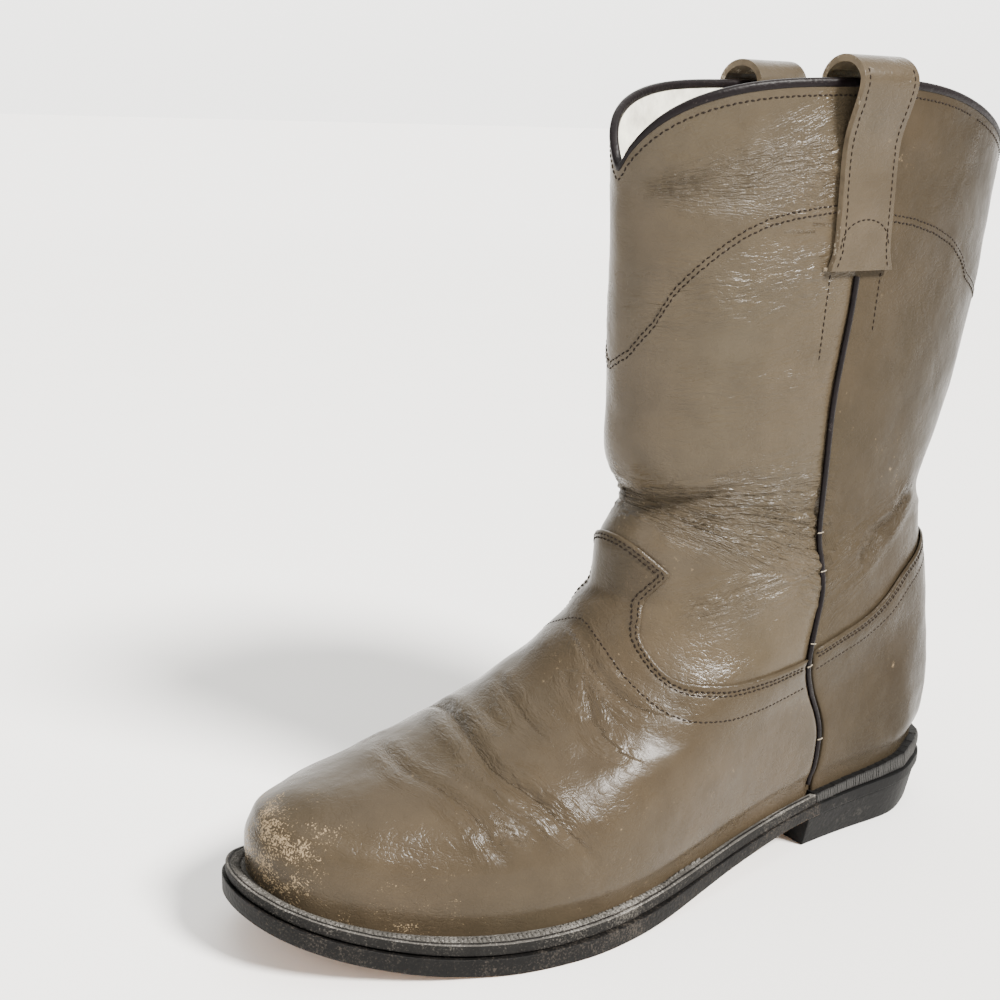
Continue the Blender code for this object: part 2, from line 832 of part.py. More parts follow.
def edge_strip_sections(columns, edge_inset, thickness):
    """Sections of a strip that lies on the sole between its edge and the upper's outer layer.
    thickness gives the strip's height by its reach."""
    clearance = GAP + OVERLAY_THICKNESS + GAP
    inner_ring = offset_ring(RINGS[0], clearance)
    section = section_at(0.0)
    angles = column_angles(section)
    sections = []
    for column in columns:
        angle, side = angles[column]
        inner = inner_ring[column]
        reach_inner = HEEL_CENTRE - inner.y
        x, reach = outline_point(angle, side, edge_inset)
        corners = [
            place(inner.x, reach_inner, sole_top(reach_inner) + GAP),
            place(x, reach, sole_top(reach) + GAP),
            place(x, reach, sole_top(reach) + GAP + thickness(reach)),
            place(inner.x, reach_inner, sole_top(reach_inner) + GAP + thickness(reach_inner)),
        ]
        sections.append(corners)
    return sections


def welt_height(reach):
    return WELT_THICKNESS


def rand_height(reach):
    """The rand is a wedge, tall at the back and level with the welt at the side seams."""
    return lerp(RAND_HEIGHT, WELT_THICKNESS, smooth_step(reach / seam_reach(0.0, 1)))


def make_welt(material, collection):
    columns = list(range(BACK_COLUMNS, COLUMNS - BACK_COLUMNS + 1))
    bm = sweep_sections(edge_strip_sections(columns, WELT_EDGE_INSET, welt_height))
    return make_object("welt", finish_mesh("welt", bm), material, collection)


def make_heel_rand(material, collection):
    columns = list(range(-BACK_COLUMNS, BACK_COLUMNS + 1))
    sections = edge_strip_sections(columns, RAND_EDGE_INSET, rand_height)
    for end, inner in ((sections[0], sections[1]), (sections[-1], sections[-2])):
        for i in range(len(end)):
            end[i] += (inner[i] - end[i]).normalized() * GAP
    bm = sweep_sections(sections)
    return make_object("heel_rand", finish_mesh("heel_rand", bm), material, collection)


def make_insole(material, collection):
    inner = offset_ring(RINGS[0], -UPPER_WALL - GAP)
    rings = []
    for lift in (GAP, GAP + INSOLE_THICKNESS):
        rings.append([place(p.x, HEEL_CENTRE - p.y, sole_top(HEEL_CENTRE - p.y) + lift)
                      for p in inner])
    bm = loft_between(rings)
    return make_object("insole", finish_mesh("insole", bm), material, collection)


def build():
    clear_scene()
    boot = make_collection("roper_boot")
    cutters = make_collection("cutters")
    leather = make_material("taupe_leather", (0.20, 0.165, 0.125), 0.38)
    shaft_leather = make_material("upper_leather", (0.205, 0.168, 0.128), 0.40)
    piping = make_material("dark_piping", (0.035, 0.022, 0.024), 0.42)
    sole_edge = make_material("black_sole", (0.022, 0.022, 0.023), 0.55)
    worn_welt = make_material("worn_welt", (0.16, 0.15, 0.135), 0.75)
    heel_rubber = make_material("black_rubber", (0.020, 0.021, 0.022), 0.62)
    insole_board = make_material("cream_insole", (0.62, 0.56, 0.45), 0.80)
    make_upper(shaft_leather, boot)
    make_overlay("vamp", vamp_outline(), leather, boot, cutters)
    make_overlay("counter", counter_outline(), leather, boot, cutters)
    make_outsole(sole_edge, boot)
    make_heel(heel_rubber, boot)
    make_welt(worn_welt, boot)
    make_heel_rand(sole_edge, boot)
    make_insole(insole_board, boot)
    for word, side in (("outer", 1), ("inner", -1)):
        make_side_piping("side_piping_" + word, side, piping, boot)
        make_pull_strap("pull_strap_" + word, side, leather, boot)
    make_collar_piping(piping, boot)


build()
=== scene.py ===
import math
from contextlib import contextmanager

import bmesh
import bpy
import numpy as np
from mathutils import Matrix, Vector
from mathutils.bvhtree import BVHTree


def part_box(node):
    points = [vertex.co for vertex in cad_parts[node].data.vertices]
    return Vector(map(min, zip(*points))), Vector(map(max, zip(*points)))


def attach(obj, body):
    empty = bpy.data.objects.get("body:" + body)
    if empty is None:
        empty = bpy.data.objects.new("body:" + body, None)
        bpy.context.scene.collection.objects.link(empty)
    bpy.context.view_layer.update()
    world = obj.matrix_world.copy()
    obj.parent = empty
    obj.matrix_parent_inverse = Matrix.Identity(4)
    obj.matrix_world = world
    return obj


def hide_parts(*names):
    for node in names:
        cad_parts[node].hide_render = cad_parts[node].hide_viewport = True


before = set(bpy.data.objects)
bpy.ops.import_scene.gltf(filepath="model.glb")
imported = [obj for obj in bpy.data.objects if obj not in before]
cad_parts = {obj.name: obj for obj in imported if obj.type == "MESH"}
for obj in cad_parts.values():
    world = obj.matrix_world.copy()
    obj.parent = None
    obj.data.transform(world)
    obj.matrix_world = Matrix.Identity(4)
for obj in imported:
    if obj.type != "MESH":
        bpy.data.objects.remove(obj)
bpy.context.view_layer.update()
bpy.ops.object.select_all(action="DESELECT")
print("frame loaded")

# Lengths are in metres unless a comment says millimetres. Reach is measured forward from the
# back edge of the sole. Columns count round the upper from the back, the outer side first.
boot = {"heelCentre": 0.041, "columns": 38, "outerSeam": 7, "innerSeam": 31, "wall": 0.0022}
millimetre = 0.001
mergeGap = 0.00002
fullTone = 1.0


# Camera and light

cameraPlan = {
    "place": (0.39149, -0.42107, 0.26734),
    "turn": math.radians(56.59),
    "tilt": math.radians(14.62),
    "roll": math.radians(1.52),
    "lens": 52.2,
    "clipStart": 0.01,
}


def setCamera():
    turn, tilt, roll = cameraPlan["turn"], cameraPlan["tilt"], cameraPlan["roll"]
    back = Vector((math.sin(turn) * math.cos(tilt), -math.cos(turn) * math.cos(tilt), math.sin(tilt)))
    level = Vector((math.cos(turn), math.sin(turn), 0.0))
    upright = back.cross(level)
    right = level * math.cos(roll) + upright * math.sin(roll)
    up = upright * math.cos(roll) - level * math.sin(roll)
    bpy.ops.object.camera_add()
    camera = bpy.context.object
    camera.name = "photoCamera"
    facing = Matrix((right, up, back)).transposed().to_4x4()
    camera.matrix_world = Matrix.Translation(cameraPlan["place"]) @ facing
    camera.data.lens = cameraPlan["lens"]
    camera.data.clip_start = cameraPlan["clipStart"]
    bpy.context.scene.camera = camera


lightPlan = {
    "areas": {
        "topLight": {"place": (-0.10, -0.15, 1.50), "size": 1.2, "power": 12.0, "tint": (1.0, 0.98, 0.95)},
        "frontLight": {"place": (0.45, -1.30, 0.75), "size": 0.9, "power": 7.0, "tint": (0.98, 0.99, 1.0)},
    },
    "aim": (0.0, -0.10, 0.10),
    "keyFrom": (0.67, 0.27, 0.66),
    "keyAngle": math.radians(15),
    "keyPower": 13.0,
    "keyTint": (1.0, 0.965, 0.92),
}
# The world is bright only towards what the camera sees, and a little dimmer at the horizon
worldPlan = {
    "tint": (1.0, 0.985, 0.95),
    "strength": 3.7,
    "brightSide": (-0.83, 0.55, 0.0),
    "brightZone": (0.50, 0.90),
    "dimShare": 0.22,
    "horizonZone": (0.0, 0.14),
    "horizonShare": 0.92,
}


def addLamp(kind, name, place, aim, power, tint):
    bpy.ops.object.light_add(type=kind, location=place)
    lamp = bpy.context.object
    lamp.name = name
    lamp.data.energy = power
    lamp.data.color = tint
    lamp.rotation_euler = (Vector(aim) - Vector(place)).to_track_quat("-Z", "Y").to_euler()
    return lamp.data


def setLights():
    for name, area in lightPlan["areas"].items():
        lamp = addLamp("AREA", name, area["place"], lightPlan["aim"], area["power"], area["tint"])
        lamp.size = area["size"]
    key = addLamp(
        "SUN", "keyLight", lightPlan["keyFrom"], (0, 0, 0), lightPlan["keyPower"], lightPlan["keyTint"]
    )
    key.angle = lightPlan["keyAngle"]
    plan = worldPlan
    world = bpy.data.worlds.new("studio")
    bpy.context.scene.world = world
    world.use_nodes = True
    tree = world.node_tree
    sky = tree.nodes["Background"]
    sky.inputs["Color"].default_value = colour(*plan["tint"])
    looking = tree.nodes.new("ShaderNodeTexCoord").outputs["Generated"]
    sideways = vectorMaths(tree, "DOT_PRODUCT", {0: looking, 1: plan["brightSide"]}, "Value")
    height = addNode(tree, "ShaderNodeSeparateXYZ", {0: looking}).outputs["Z"]
    sideShare = mapRange(tree, sideways, plan["brightZone"], (plan["dimShare"], 1.0), "SMOOTHSTEP")
    heightShare = mapRange(tree, height, plan["horizonZone"], (plan["horizonShare"], 1.0), "SMOOTHSTEP")
    share = maths(tree, "MULTIPLY", sideShare, heightShare)
    tree.links.new(maths(tree, "MULTIPLY", share, plan["strength"]), sky.inputs["Strength"])


# Shader helpers


def addNode(tree, kind, inputs=None, **settings):
    node = tree.nodes.new(kind)
    for name, value in settings.items():
        setattr(node, name, value)
    for name, value in (inputs or {}).items():
        if isinstance(value, bpy.types.NodeSocket):
            tree.links.new(value, node.inputs[name])
        else:
            node.inputs[name].default_value = value
    return node


def colour(red, green, blue):
    return (red, green, blue, 1.0)


def ramp(tree, source, stops):
    node = addNode(tree, "ShaderNodeValToRGB", {"Fac": source})
    for element, (place, shade) in zip(node.color_ramp.elements, stops):
        element.position = place
        element.color = colour(shade, shade, shade)
    return node.outputs["Color"]


def mixColour(tree, share, first, second, blend="MIX"):
    inputs = {0: share, 6: first, 7: second}
    return addNode(tree, "ShaderNodeMix", inputs, data_type="RGBA", blend_type=blend).outputs[2]


def maths(tree, operation, first, second=0.0, third=0.0, clamp=False):
    inputs = {0: first, 1: second, 2: third}
    return addNode(tree, "ShaderNodeMath", inputs, operation=operation, use_clamp=clamp).outputs[0]


def vectorMaths(tree, operation, inputs, output="Vector"):
    return addNode(tree, "ShaderNodeVectorMath", inputs, operation=operation).outputs[output]


def mapRange(tree, value, edges, results=(0.0, 1.0), kind="LINEAR"):
    inputs = {
        "Value": value,
        "From Min": edges[0], "From Max": edges[1],
        "To Min": results[0], "To Max": results[1],
    }
    return addNode(tree, "ShaderNodeMapRange", inputs, interpolation_type=kind).outputs["Result"]


def noiseAt(tree, vector, scale, detail=3.0, roughness=0.5):
    inputs = {"Vector": vector, "Scale": scale, "Detail": detail, "Roughness": roughness}
    return addNode(tree, "ShaderNodeTexNoise", inputs).outputs["Fac"]


def warped(tree, place, amount, source, scale, detail=2.0):
    # A place moved about by coloured noise
    noise = addNode(tree, "ShaderNodeTexNoise", {"Vector": source, "Scale": scale, "Detail": detail})
    return vectorMaths(tree, "MULTIPLY_ADD", {0: noise.outputs["Color"], 1: amount, 2: place})


def stretched(tree, vector, scale, rotation=(0, 0, 0)):
    inputs = {"Vector": vector, "Scale": scale, "Rotation": rotation}
    return addNode(tree, "ShaderNodeMapping", inputs).outputs["Vector"]


def attribute(tree, name, output="Fac"):
    return addNode(tree, "ShaderNodeAttribute", attribute_name=name).outputs[output]


def addBump(tree, height, distance, strength=1.0):
    return addNode(tree, "ShaderNodeBump", {"Strength": strength, "Distance": distance, "Height": height})


def newGroup(name, inputs, outputs):
    # Inputs without a value are vectors, and all else is a single number
    group = bpy.data.node_groups.new(name, "ShaderNodeTree")
    for label, value in inputs.items():
        kind = "NodeSocketVector" if value is None else "NodeSocketFloat"
        socket = group.interface.new_socket(label, in_out="INPUT", socket_type=kind)
        if value is not None:
            socket.default_value = value
    for label in outputs:
        group.interface.new_socket(label, in_out="OUTPUT", socket_type="NodeSocketFloat")
    return group, group.nodes.new("NodeGroupInput"), group.nodes.new("NodeGroupOutput")


def placeGroup(tree, name, inputs):
    return addNode(tree, "ShaderNodeGroup", inputs, node_tree=groups[name]).outputs


def leatherGrain():
    # Fine pebbles with a soft swell under them
    group, start, end = newGroup("leatherGrain", {"Place": None, "Pebble": 900.0, "Swell": 90.0}, ["Height"])
    place = start.outputs["Place"]
    moved = warped(group, place, (0.0012, 0.0012, 0.0012), place, 300.0)
    inputs = {"Vector": moved, "Scale": start.outputs["Pebble"]}
    cells = addNode(group, "ShaderNodeTexVoronoi", inputs, feature="SMOOTH_F1").outputs["Distance"]
    swell = noiseAt(group, place, start.outputs["Swell"], 4.0)
    pebble = maths(group, "MULTIPLY_ADD", cells, -0.5, 0.5)
    group.links.new(maths(group, "MULTIPLY_ADD", swell, 1.2, pebble), end.inputs["Height"])
    return group


def flowWrinkles():
    # Fine wrinkles that follow the creases, from the flow coordinates on the mesh, and thin lines along their valleys
    # for painted shade
    group, start, end = newGroup("flowWrinkles", {"Flow": None, "Amount": 1.0}, ["Height", "ValleyShadeLines"])
    flow, amount = start.outputs["Flow"], start.outputs["Amount"]
    moved = warped(group, flow, (0.0, 0.008, 0.0), stretched(group, flow, (60, 90, 0)), 1.0)
    coarse = noiseAt(group, stretched(group, moved, (80, 360, 0)), 1.0, 3.0, 0.55)
    fine = noiseAt(group, stretched(group, moved, (300, 900, 0)), 1.0, 2.0, 0.5)
    coarseLine, fineLine = (
        maths(group, "ABSOLUTE", maths(group, "SUBTRACT", noise, 0.5)) for noise in (coarse, fine)
    )
    both = maths(group, "MULTIPLY_ADD", fineLine, 0.25, coarseLine)
    # painted shade: thin dark lines along the wrinkle valleys
    lines = maths(group, "MULTIPLY", maths(group, "LESS_THAN", coarseLine, 0.018), amount)
    group.links.new(maths(group, "MULTIPLY", both, amount), end.inputs["Height"])
    group.links.new(lines, end.inputs["ValleyShadeLines"])
    return group


def crackledLeather():
    # Fine valleys between uneven cells, stronger in some patches than in others
    group, start, end = newGroup("crackledLeather", {"Place": None}, ["Height"])
    place = start.outputs["Place"]
    moved = warped(group, place, (0.006, 0.006, 0.006), place, 110.0, 3.0)
    total = None
    for turn, scale in ((0.5, 300.0), (-0.6, 570.0)):
        turned = stretched(group, moved, (1.0, 1.0, 1.7), (turn, 0.3 * turn, 0.0))
        inputs = {"Vector": turned, "Scale": scale}
        cells = addNode(group, "ShaderNodeTexVoronoi", inputs, feature="DISTANCE_TO_EDGE").outputs["Distance"]
        valley = mapRange(group, cells, (0.0, 0.16), kind="SMOOTHSTEP")
        total = valley if total is None else maths(group, "MULTIPLY_ADD", valley, 0.55, total)
    patches = ramp(group, noiseAt(group, place, 26.0), ((0.38, 0.15), (0.62, 1.0)))
    group.links.new(maths(group, "MULTIPLY", total, patches), end.inputs["Height"])
    return group


def wearSpecks():
    # Scattered pale nicks and short scratches
    group, start, end = newGroup("wearSpecks", {"Place": None, "Scale": 260.0, "Cover": 0.5}, ["Mask"])
    place = start.outputs["Place"]
    grit = noiseAt(group, place, start.outputs["Scale"], 5.0, 0.72)
    reached = maths(group, "MULTIPLY_ADD", noiseAt(group, place, 38.0, 3.0, 0.6), 0.55, grit)
    level = maths(group, "MULTIPLY_ADD", start.outputs["Cover"], -0.5, 1.18)
    over = maths(group, "SUBTRACT", reached, level)
    group.links.new(maths(group, "MULTIPLY_ADD", over, 9.0, 0.5, clamp=True), end.inputs["Mask"])
    return group


groups = {
    "grain": leatherGrain(),
    "wrinkles": flowWrinkles(),
    "crackle": crackledLeather(),
    "specks": wearSpecks(),
}


def newMaterial(name):
    material = bpy.data.materials.new(name)
    material.use_nodes = True
    tree = material.node_tree
    place = tree.nodes.new("ShaderNodeTexCoord").outputs["Object"]
    return material, tree, tree.nodes["Principled BSDF"].inputs, place


# Tones are darker than the leather looks, because the white floor lights it strongly
leatherPlan = {
    "tone": (0.0450, 0.0344, 0.0216),
    "warm": (0.0520, 0.0374, 0.0226),
    "cool": (0.0390, 0.0312, 0.0198),
    # painted shade: this dark tone is mixed into the crease valleys and wrinkle lines, by the two shares below
    "creaseShadeTone": (0.014, 0.0095, 0.0050),
    "creaseShadeShare": 0.12,
    "lineShadeShare": 0.06,
    "scuff": (0.25, 0.185, 0.110),
    "scuffShare": 0.8,
    "roughness": (0.23, 0.34),
    "wornRoughness": 0.35,
    # painted shade: between these two places along y the tone darkens towards the back of the boot, down to the share
    # on the next line
    "backEdge": (-0.060, 0.020),
    "paintedBackShade": 0.52,
    "grainDepth": 0.00005,
    "crackleDepth": 0.000045,
    "swellDepth": 0.0012,
    "foldDepth": 0.0024,
}
# The rubbed patches: noise scale and weight, grit scale and weight, offset, gain from the mesh
rubPlan = {"patch": (95.0, 2.3), "grit": (1500.0, 2.6), "offset": -3.46, "gain": 1.05, "sharp": 5.0}


def rubbedAway(tree, place):
    plan = rubPlan
    worn = attribute(tree, "worn")
    (patchScale, patchWeight), (gritScale, gritWeight) = plan["patch"], plan["grit"]
    patch = noiseAt(tree, stretched(tree, place, (1.0, 0.7, 1.6)), patchScale, 4.0, 0.6)
    grit = maths(tree, "MULTIPLY_ADD", noiseAt(tree, place, gritScale, 2.0, 0.6), gritWeight, plan["offset"])
    reached = maths(tree, "MULTIPLY_ADD", patch, patchWeight, grit)
    rub = maths(tree, "ADD", reached, maths(tree, "MULTIPLY", worn, plan["gain"]))
    rub = maths(tree, "MULTIPLY", rub, plan["sharp"], clamp=True)
    return maths(tree, "MULTIPLY", rub, maths(tree, "GREATER_THAN", worn, 0.02))


# shade scales the tone: above 1 it is painted light, below 1 painted shade
def leather(name, toeWear=0.0, wrinkles=1.0, shade=1.0, bend=1.26):
    # The boot's leather. A low refractive index keeps the floor's reflection down.
    plan = leatherPlan
    material, tree, shader, place = newMaterial(name)
    creaseShadeTone = colour(*plan["creaseShadeTone"])
    broad = ramp(tree, noiseAt(tree, place, 9.0, 2.0), ((0.35, 0.0), (0.65, 1.0)))
    tone = mixColour(tree, broad, colour(*plan["cool"]), colour(*plan["warm"]))
    tone = mixColour(tree, 0.5, tone, colour(*plan["tone"]))
    mottle = ramp(tree, noiseAt(tree, place, 70.0, 5.0, 0.6), ((0.3, 0.34), (0.7, 0.66)))
    tone = mixColour(tree, 0.35, tone, mottle, "OVERLAY")
    # painted light and shade: the tone is scaled by shade, and darkened towards the back of the boot as painted shade
    along = addNode(tree, "ShaderNodeSeparateXYZ", {0: place}).outputs["Y"]
    behind = mapRange(tree, along, plan["backEdge"], (shade, shade * plan["paintedBackShade"]))
    tone = vectorMaths(tree, "SCALE", {0: tone, "Scale": behind})
    flow, folded = attribute(tree, "flow", "Vector"), attribute(tree, "folded")
    folds = placeGroup(tree, "wrinkles", {"Flow": flow, "Amount": folded})
    # painted shade: the crease valleys and the wrinkle lines get the dark tone
    for mask, share in ((attribute(tree, "creaseShadeMask"), "creaseShadeShare"), (folds["ValleyShadeLines"], "lineShadeShare")):
        tone = mixColour(tree, maths(tree, "MULTIPLY", mask, plan[share]), tone, creaseShadeTone)
    specks = placeGroup(tree, "specks", {"Place": place, "Scale": 420.0, "Cover": 0.31})
    wear = maths(tree, "MULTIPLY", specks["Mask"], 0.6)
    if toeWear:
        wear = maths(tree, "MAXIMUM", wear, maths(tree, "MULTIPLY", rubbedAway(tree, place), toeWear))
    tone = mixColour(tree, maths(tree, "MULTIPLY", wear, plan["scuffShare"]), tone, colour(*plan["scuff"]))
    tree.links.new(tone, shader["Base Color"])
    gloss = mapRange(tree, noiseAt(tree, place, 55.0, 4.0, 0.6), (0.35, 0.65), plan["roughness"])
    rough = maths(tree, "MULTIPLY_ADD", wear, plan["wornRoughness"], gloss)
    tree.links.new(rough, shader["Roughness"])
    grain = placeGroup(tree, "grain", {"Place": place, "Pebble": 950.0, "Swell": 150.0})
    normal = None
    for height, depth in (
        (grain["Height"], plan["grainDepth"]),
        (placeGroup(tree, "crackle", {"Place": place})["Height"], plan["crackleDepth"]),
        (noiseAt(tree, place, 42.0), plan["swellDepth"]),
        (folds["Height"], plan["foldDepth"] * wrinkles),
    ):
        bump = addBump(tree, height, depth)
        if normal:
            tree.links.new(normal, bump.inputs["Normal"])
        normal = bump.outputs["Normal"]
    tree.links.new(normal, shader["Normal"])
    shader["IOR"].default_value = bend
    return material


stockPlan = {"spread": 0.12, "wornRoughness": 0.2, "bumpDistance": 0.0003, "bend": 1.22}


def stock(name, tone, roughness, pebble=700.0, strength=0.4, speck=None, cover=0.4, scale=380.0, crest=None):
    # Simple stock: one tone with a mottle, a grain and worn specks
    plan = stockPlan
    material, tree, shader, place = newMaterial(name)
    mottle = noiseAt(tree, place, 120.0, 5.0, 0.65)
    dark = colour(*(channel * 0.72 for channel in tone))
    light = colour(*(min(channel * 1.28, fullTone) for channel in tone))
    base = mixColour(tree, ramp(tree, mottle, ((0.3, 0.0), (0.7, 1.0))), dark, light)
    rough = maths(tree, "MULTIPLY_ADD", mottle, plan["spread"], roughness - plan["spread"] / 2)
    if speck:
        specks = placeGroup(tree, "specks", {"Place": place, "Scale": scale, "Cover": cover})["Mask"]
        base = mixColour(tree, specks, base, colour(*speck))
        rough = maths(tree, "MULTIPLY_ADD", specks, plan["wornRoughness"], rough)
    if crest:
        base = mixColour(tree, attribute(tree, "rib"), base, colour(*crest))
    tree.links.new(base, shader["Base Color"])
    tree.links.new(rough, shader["Roughness"])
    grain = placeGroup(tree, "grain", {"Place": place, "Pebble": pebble, "Swell": 150.0})
    bump = addBump(tree, grain["Height"], plan["bumpDistance"], strength)
    tree.links.new(bump.outputs["Normal"], shader["Normal"])
    shader["IOR"].default_value = plan["bend"]
    return material


# The leathers are lit and shaded copies of one leather: a shade above 1 is painted light and below 1 painted shade
materials = {
    "shaft": leather("shaftLeather", wrinkles=1.5, shade=1.12),
    "shaftBack": leather("shaftBackLeather", wrinkles=1.2, shade=0.90, bend=1.13),
    "vamp": leather("vampLeather", toeWear=1.0, shade=0.86, bend=1.21),
    "counter": leather("counterLeather", toeWear=0.5, shade=0.82, bend=1.12),
    "strap": leather("strapLeather", wrinkles=0.0, shade=1.15),
    "edge": stock("cutEdge", (0.11, 0.085, 0.056), 0.7, speck=(0.34, 0.29, 0.22), cover=0.55),
    "lining": stock("creamLining", (0.80, 0.77, 0.67), 0.72, 420.0, 0.9, (0.52, 0.48, 0.38), 0.45),
    "binding": stock("plumBinding", (0.0036, 0.0021, 0.0025), 0.42, 900.0, 0.7, (0.085, 0.07, 0.065), 0.36, 700.0),
    "thread": stock("brownThread", (0.0085, 0.0052, 0.0032), 0.7, 2500.0, 0.6),
    "paleThread": stock("paleThread", (0.20, 0.17, 0.13), 0.7, 2500.0, 0.6),
    "weltStrip": stock("weltStrip", (0.052, 0.049, 0.044), 0.8, 1200.0, 1.0, (0.17, 0.16, 0.145), 0.66, 1500.0),
    "welt": stock("fadedWelt", (0.0060, 0.0056, 0.0052), 0.75, 900.0, 1.0, (0.060, 0.055, 0.048), 0.60, 1500.0),
    "sole": stock("blackEdge", (0.0030, 0.0028, 0.0027), 0.6, 900.0, 1.0, (0.034, 0.029, 0.024), 0.62, 1300.0),
    "rand": stock(
        "randRubber", (0.0045, 0.0044, 0.0043), 0.6, 1500.0, 0.8, (0.03, 0.028, 0.025), 0.5, 900.0,
        crest=(0.045, 0.044, 0.042),
    ),
    "tanSole": stock("tanSole", (0.22, 0.12, 0.055), 0.6, speck=(0.10, 0.06, 0.035), cover=0.6),
    "rubber": stock("blackRubber", (0.0030, 0.0030, 0.0031), 0.66, 700.0, 0.7, (0.024, 0.023, 0.021), 0.45, 600.0),
    "insole": stock("creamSock", (0.70, 0.64, 0.52), 0.8, 350.0, 0.5),
}
print("materials made")


# Mesh helpers


def activate(piece):
    bpy.ops.object.select_all(action="DESELECT")
    piece.select_set(True)
    bpy.context.view_layer.objects.active = piece


@contextmanager
def editing(piece):
    # The lines inside work in edit mode with the whole mesh selected
    activate(piece)
    bpy.ops.object.mode_set(mode="EDIT")
    bpy.ops.mesh.select_all(action="SELECT")
    yield
    bpy.ops.object.mode_set(mode="OBJECT")


def closeLoops(piece, close):
    # Closes the open loops of a mesh with the operator given
    with editing(piece):
        bpy.ops.mesh.select_all(action="DESELECT")
        bpy.ops.mesh.select_non_manifold()
        close()
        bpy.ops.mesh.select_all(action="SELECT")
        bpy.ops.mesh.normals_make_consistent(inside=False)


def cadCopy(node, name):
    # A merged copy of a CAD node's mesh
    piece = bpy.data.objects.new(name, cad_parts[node].data.copy())
    bpy.context.scene.collection.objects.link(piece)
    piece.data.materials.clear()
    with editing(piece):
        bpy.ops.mesh.remove_doubles(threshold=mergeGap)
        bpy.ops.mesh.tris_convert_to_quads(face_threshold=math.radians(50), shape_threshold=math.radians(70))
    return piece


def finish(piece, name, material, replaced=()):
    piece.name = name
    piece.data.name = name
    if material:
        piece.data.materials.append(material)
    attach(piece, "root")
    for node in replaced:
        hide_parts(node)
    bpy.ops.object.select_all(action="DESELECT")
    return piece


def applyAll(piece):
    activate(piece)
    for modifier in list(piece.modifiers):
        bpy.ops.object.modifier_apply(modifier=modifier.name)


def smoothModifier(piece, levels):
    smooth = piece.modifiers.new("smooth", "SUBSURF")
    smooth.levels = smooth.render_levels = levels
    applyAll(piece)


def roundEdges(piece, width):
    bevel = piece.modifiers.new("edges", "BEVEL")
    bevel.width = width
    bevel.segments = 2
    bevel.limit_method = "ANGLE"
    bevel.angle_limit = math.radians(50)
    smoothModifier(piece, 2)


def smoothShade(piece, degrees):
    activate(piece)
    bpy.ops.object.shade_smooth_by_angle(angle=math.radians(degrees))


def meshTree(piece):
    return BVHTree.FromObject(piece, bpy.context.evaluated_depsgraph_get())


def eachVector(items, name):
    # One vector per vertex or face, such as its place or normal
    values = np.empty(len(items) * 3, np.float32)
    items.foreach_get(name, values)
    return values.reshape(-1, 3).astype(float)


def lengthsAlong(points):
    return np.concatenate([[0.0], np.cumsum(np.linalg.norm(np.diff(points, axis=0), axis=1))])


def resample(values, travelled, wanted):
    return np.stack([np.interp(wanted, travelled, column) for column in values.T], axis=1)


# The upper's surface

readPlan = {"rimTop": 0.07, "sharpEdge": math.radians(60)}


def outerWall(bm):
    # The faces of the upper's outer side, spread from the back over every soft edge
    start = min(bm.faces, key=lambda face: face.calc_center_median().y)
    wall, waiting = {start}, [start]
    while waiting:
        for edge in waiting.pop().edges:
            for face in edge.link_faces:
                if face not in wall and edge.calc_face_angle(math.pi) < readPlan["sharpEdge"]:
                    wall.add(face)
                    waiting.append(face)
    return wall


def readRings():
    # The rings of points that the upper was lofted through, from feather line to collar
    bm = bmesh.new()
    bm.from_mesh(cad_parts["upper"].data)
    bmesh.ops.remove_doubles(bm, verts=bm.verts, dist=mergeGap)
    wall = outerWall(bm)
    near, rim = {}, set()
    for face in wall:
        for edge in face.edges:
            first, second = edge.verts
            near.setdefault(first, set()).add(second)
            near.setdefault(second, set()).add(first)
            if sum(other in wall for other in edge.link_faces) == 1:
                rim |= {vert for vert in edge.verts if vert.co.z < readPlan["rimTop"]}
    rows, seen = [rim], set(rim)
    while rows[-1]:
        following = {other for vert in rows[-1] for other in near[vert]} - seen
        seen |= following
        rows.append(following)
    rows.pop()
    columns = boot["columns"]
    lead = next(v for v in rows[0] if len(near[v] & rows[1]) == 1)
    found = []
    for index, row in enumerate(rows):
        order = [lead, max(near[lead] & row, key=lambda v: v.co.x)]
        while len(order) < columns:
            order.append(next(v for v in near[order[-1]] & row if v != order[-2]))
        ring = [None] * columns
        for step, vert in enumerate(order):
            ring[(columns // 2 - step) % columns] = tuple(vert.co)
        found.append(ring)
        if index + 1 < len(rows):
            lead = next(iter(near[lead] & rows[index + 1]))
    bm.free()
    return np.array(found)


def slopesAt(points, steps):
    # Slopes of a curve through points, or of many curves side by side
    steps = steps.reshape((-1,) + (1,) * (points.ndim - 1))
    slopes = np.diff(points, axis=0) / steps
    before, after = steps[:-1], steps[1:]
    inner = (slopes[:-1] * after + slopes[1:] * before) / (before + after)
    return np.concatenate([slopes[:1], inner, slopes[-1:]])


rings = readRings()
rowSteps = np.linalg.norm(np.diff(rings, axis=0), axis=2).mean(axis=1)
rowPlaces = np.concatenate([[0.0], np.cumsum(rowSteps)])
ringSlopes = slopesAt(rings, rowSteps)
print("rings read:", rings.shape)


def hermite(first, second, slopeFirst, slopeSecond, share, width):
    squared, cubed = share**2, share**3
    return (
        first * (2 * cubed - 3 * squared + 1)
        + slopeFirst * width * (cubed - 2 * squared + share)
        + second * (3 * squared - 2 * cubed)
        + slopeSecond * width * (cubed - squared)
    )


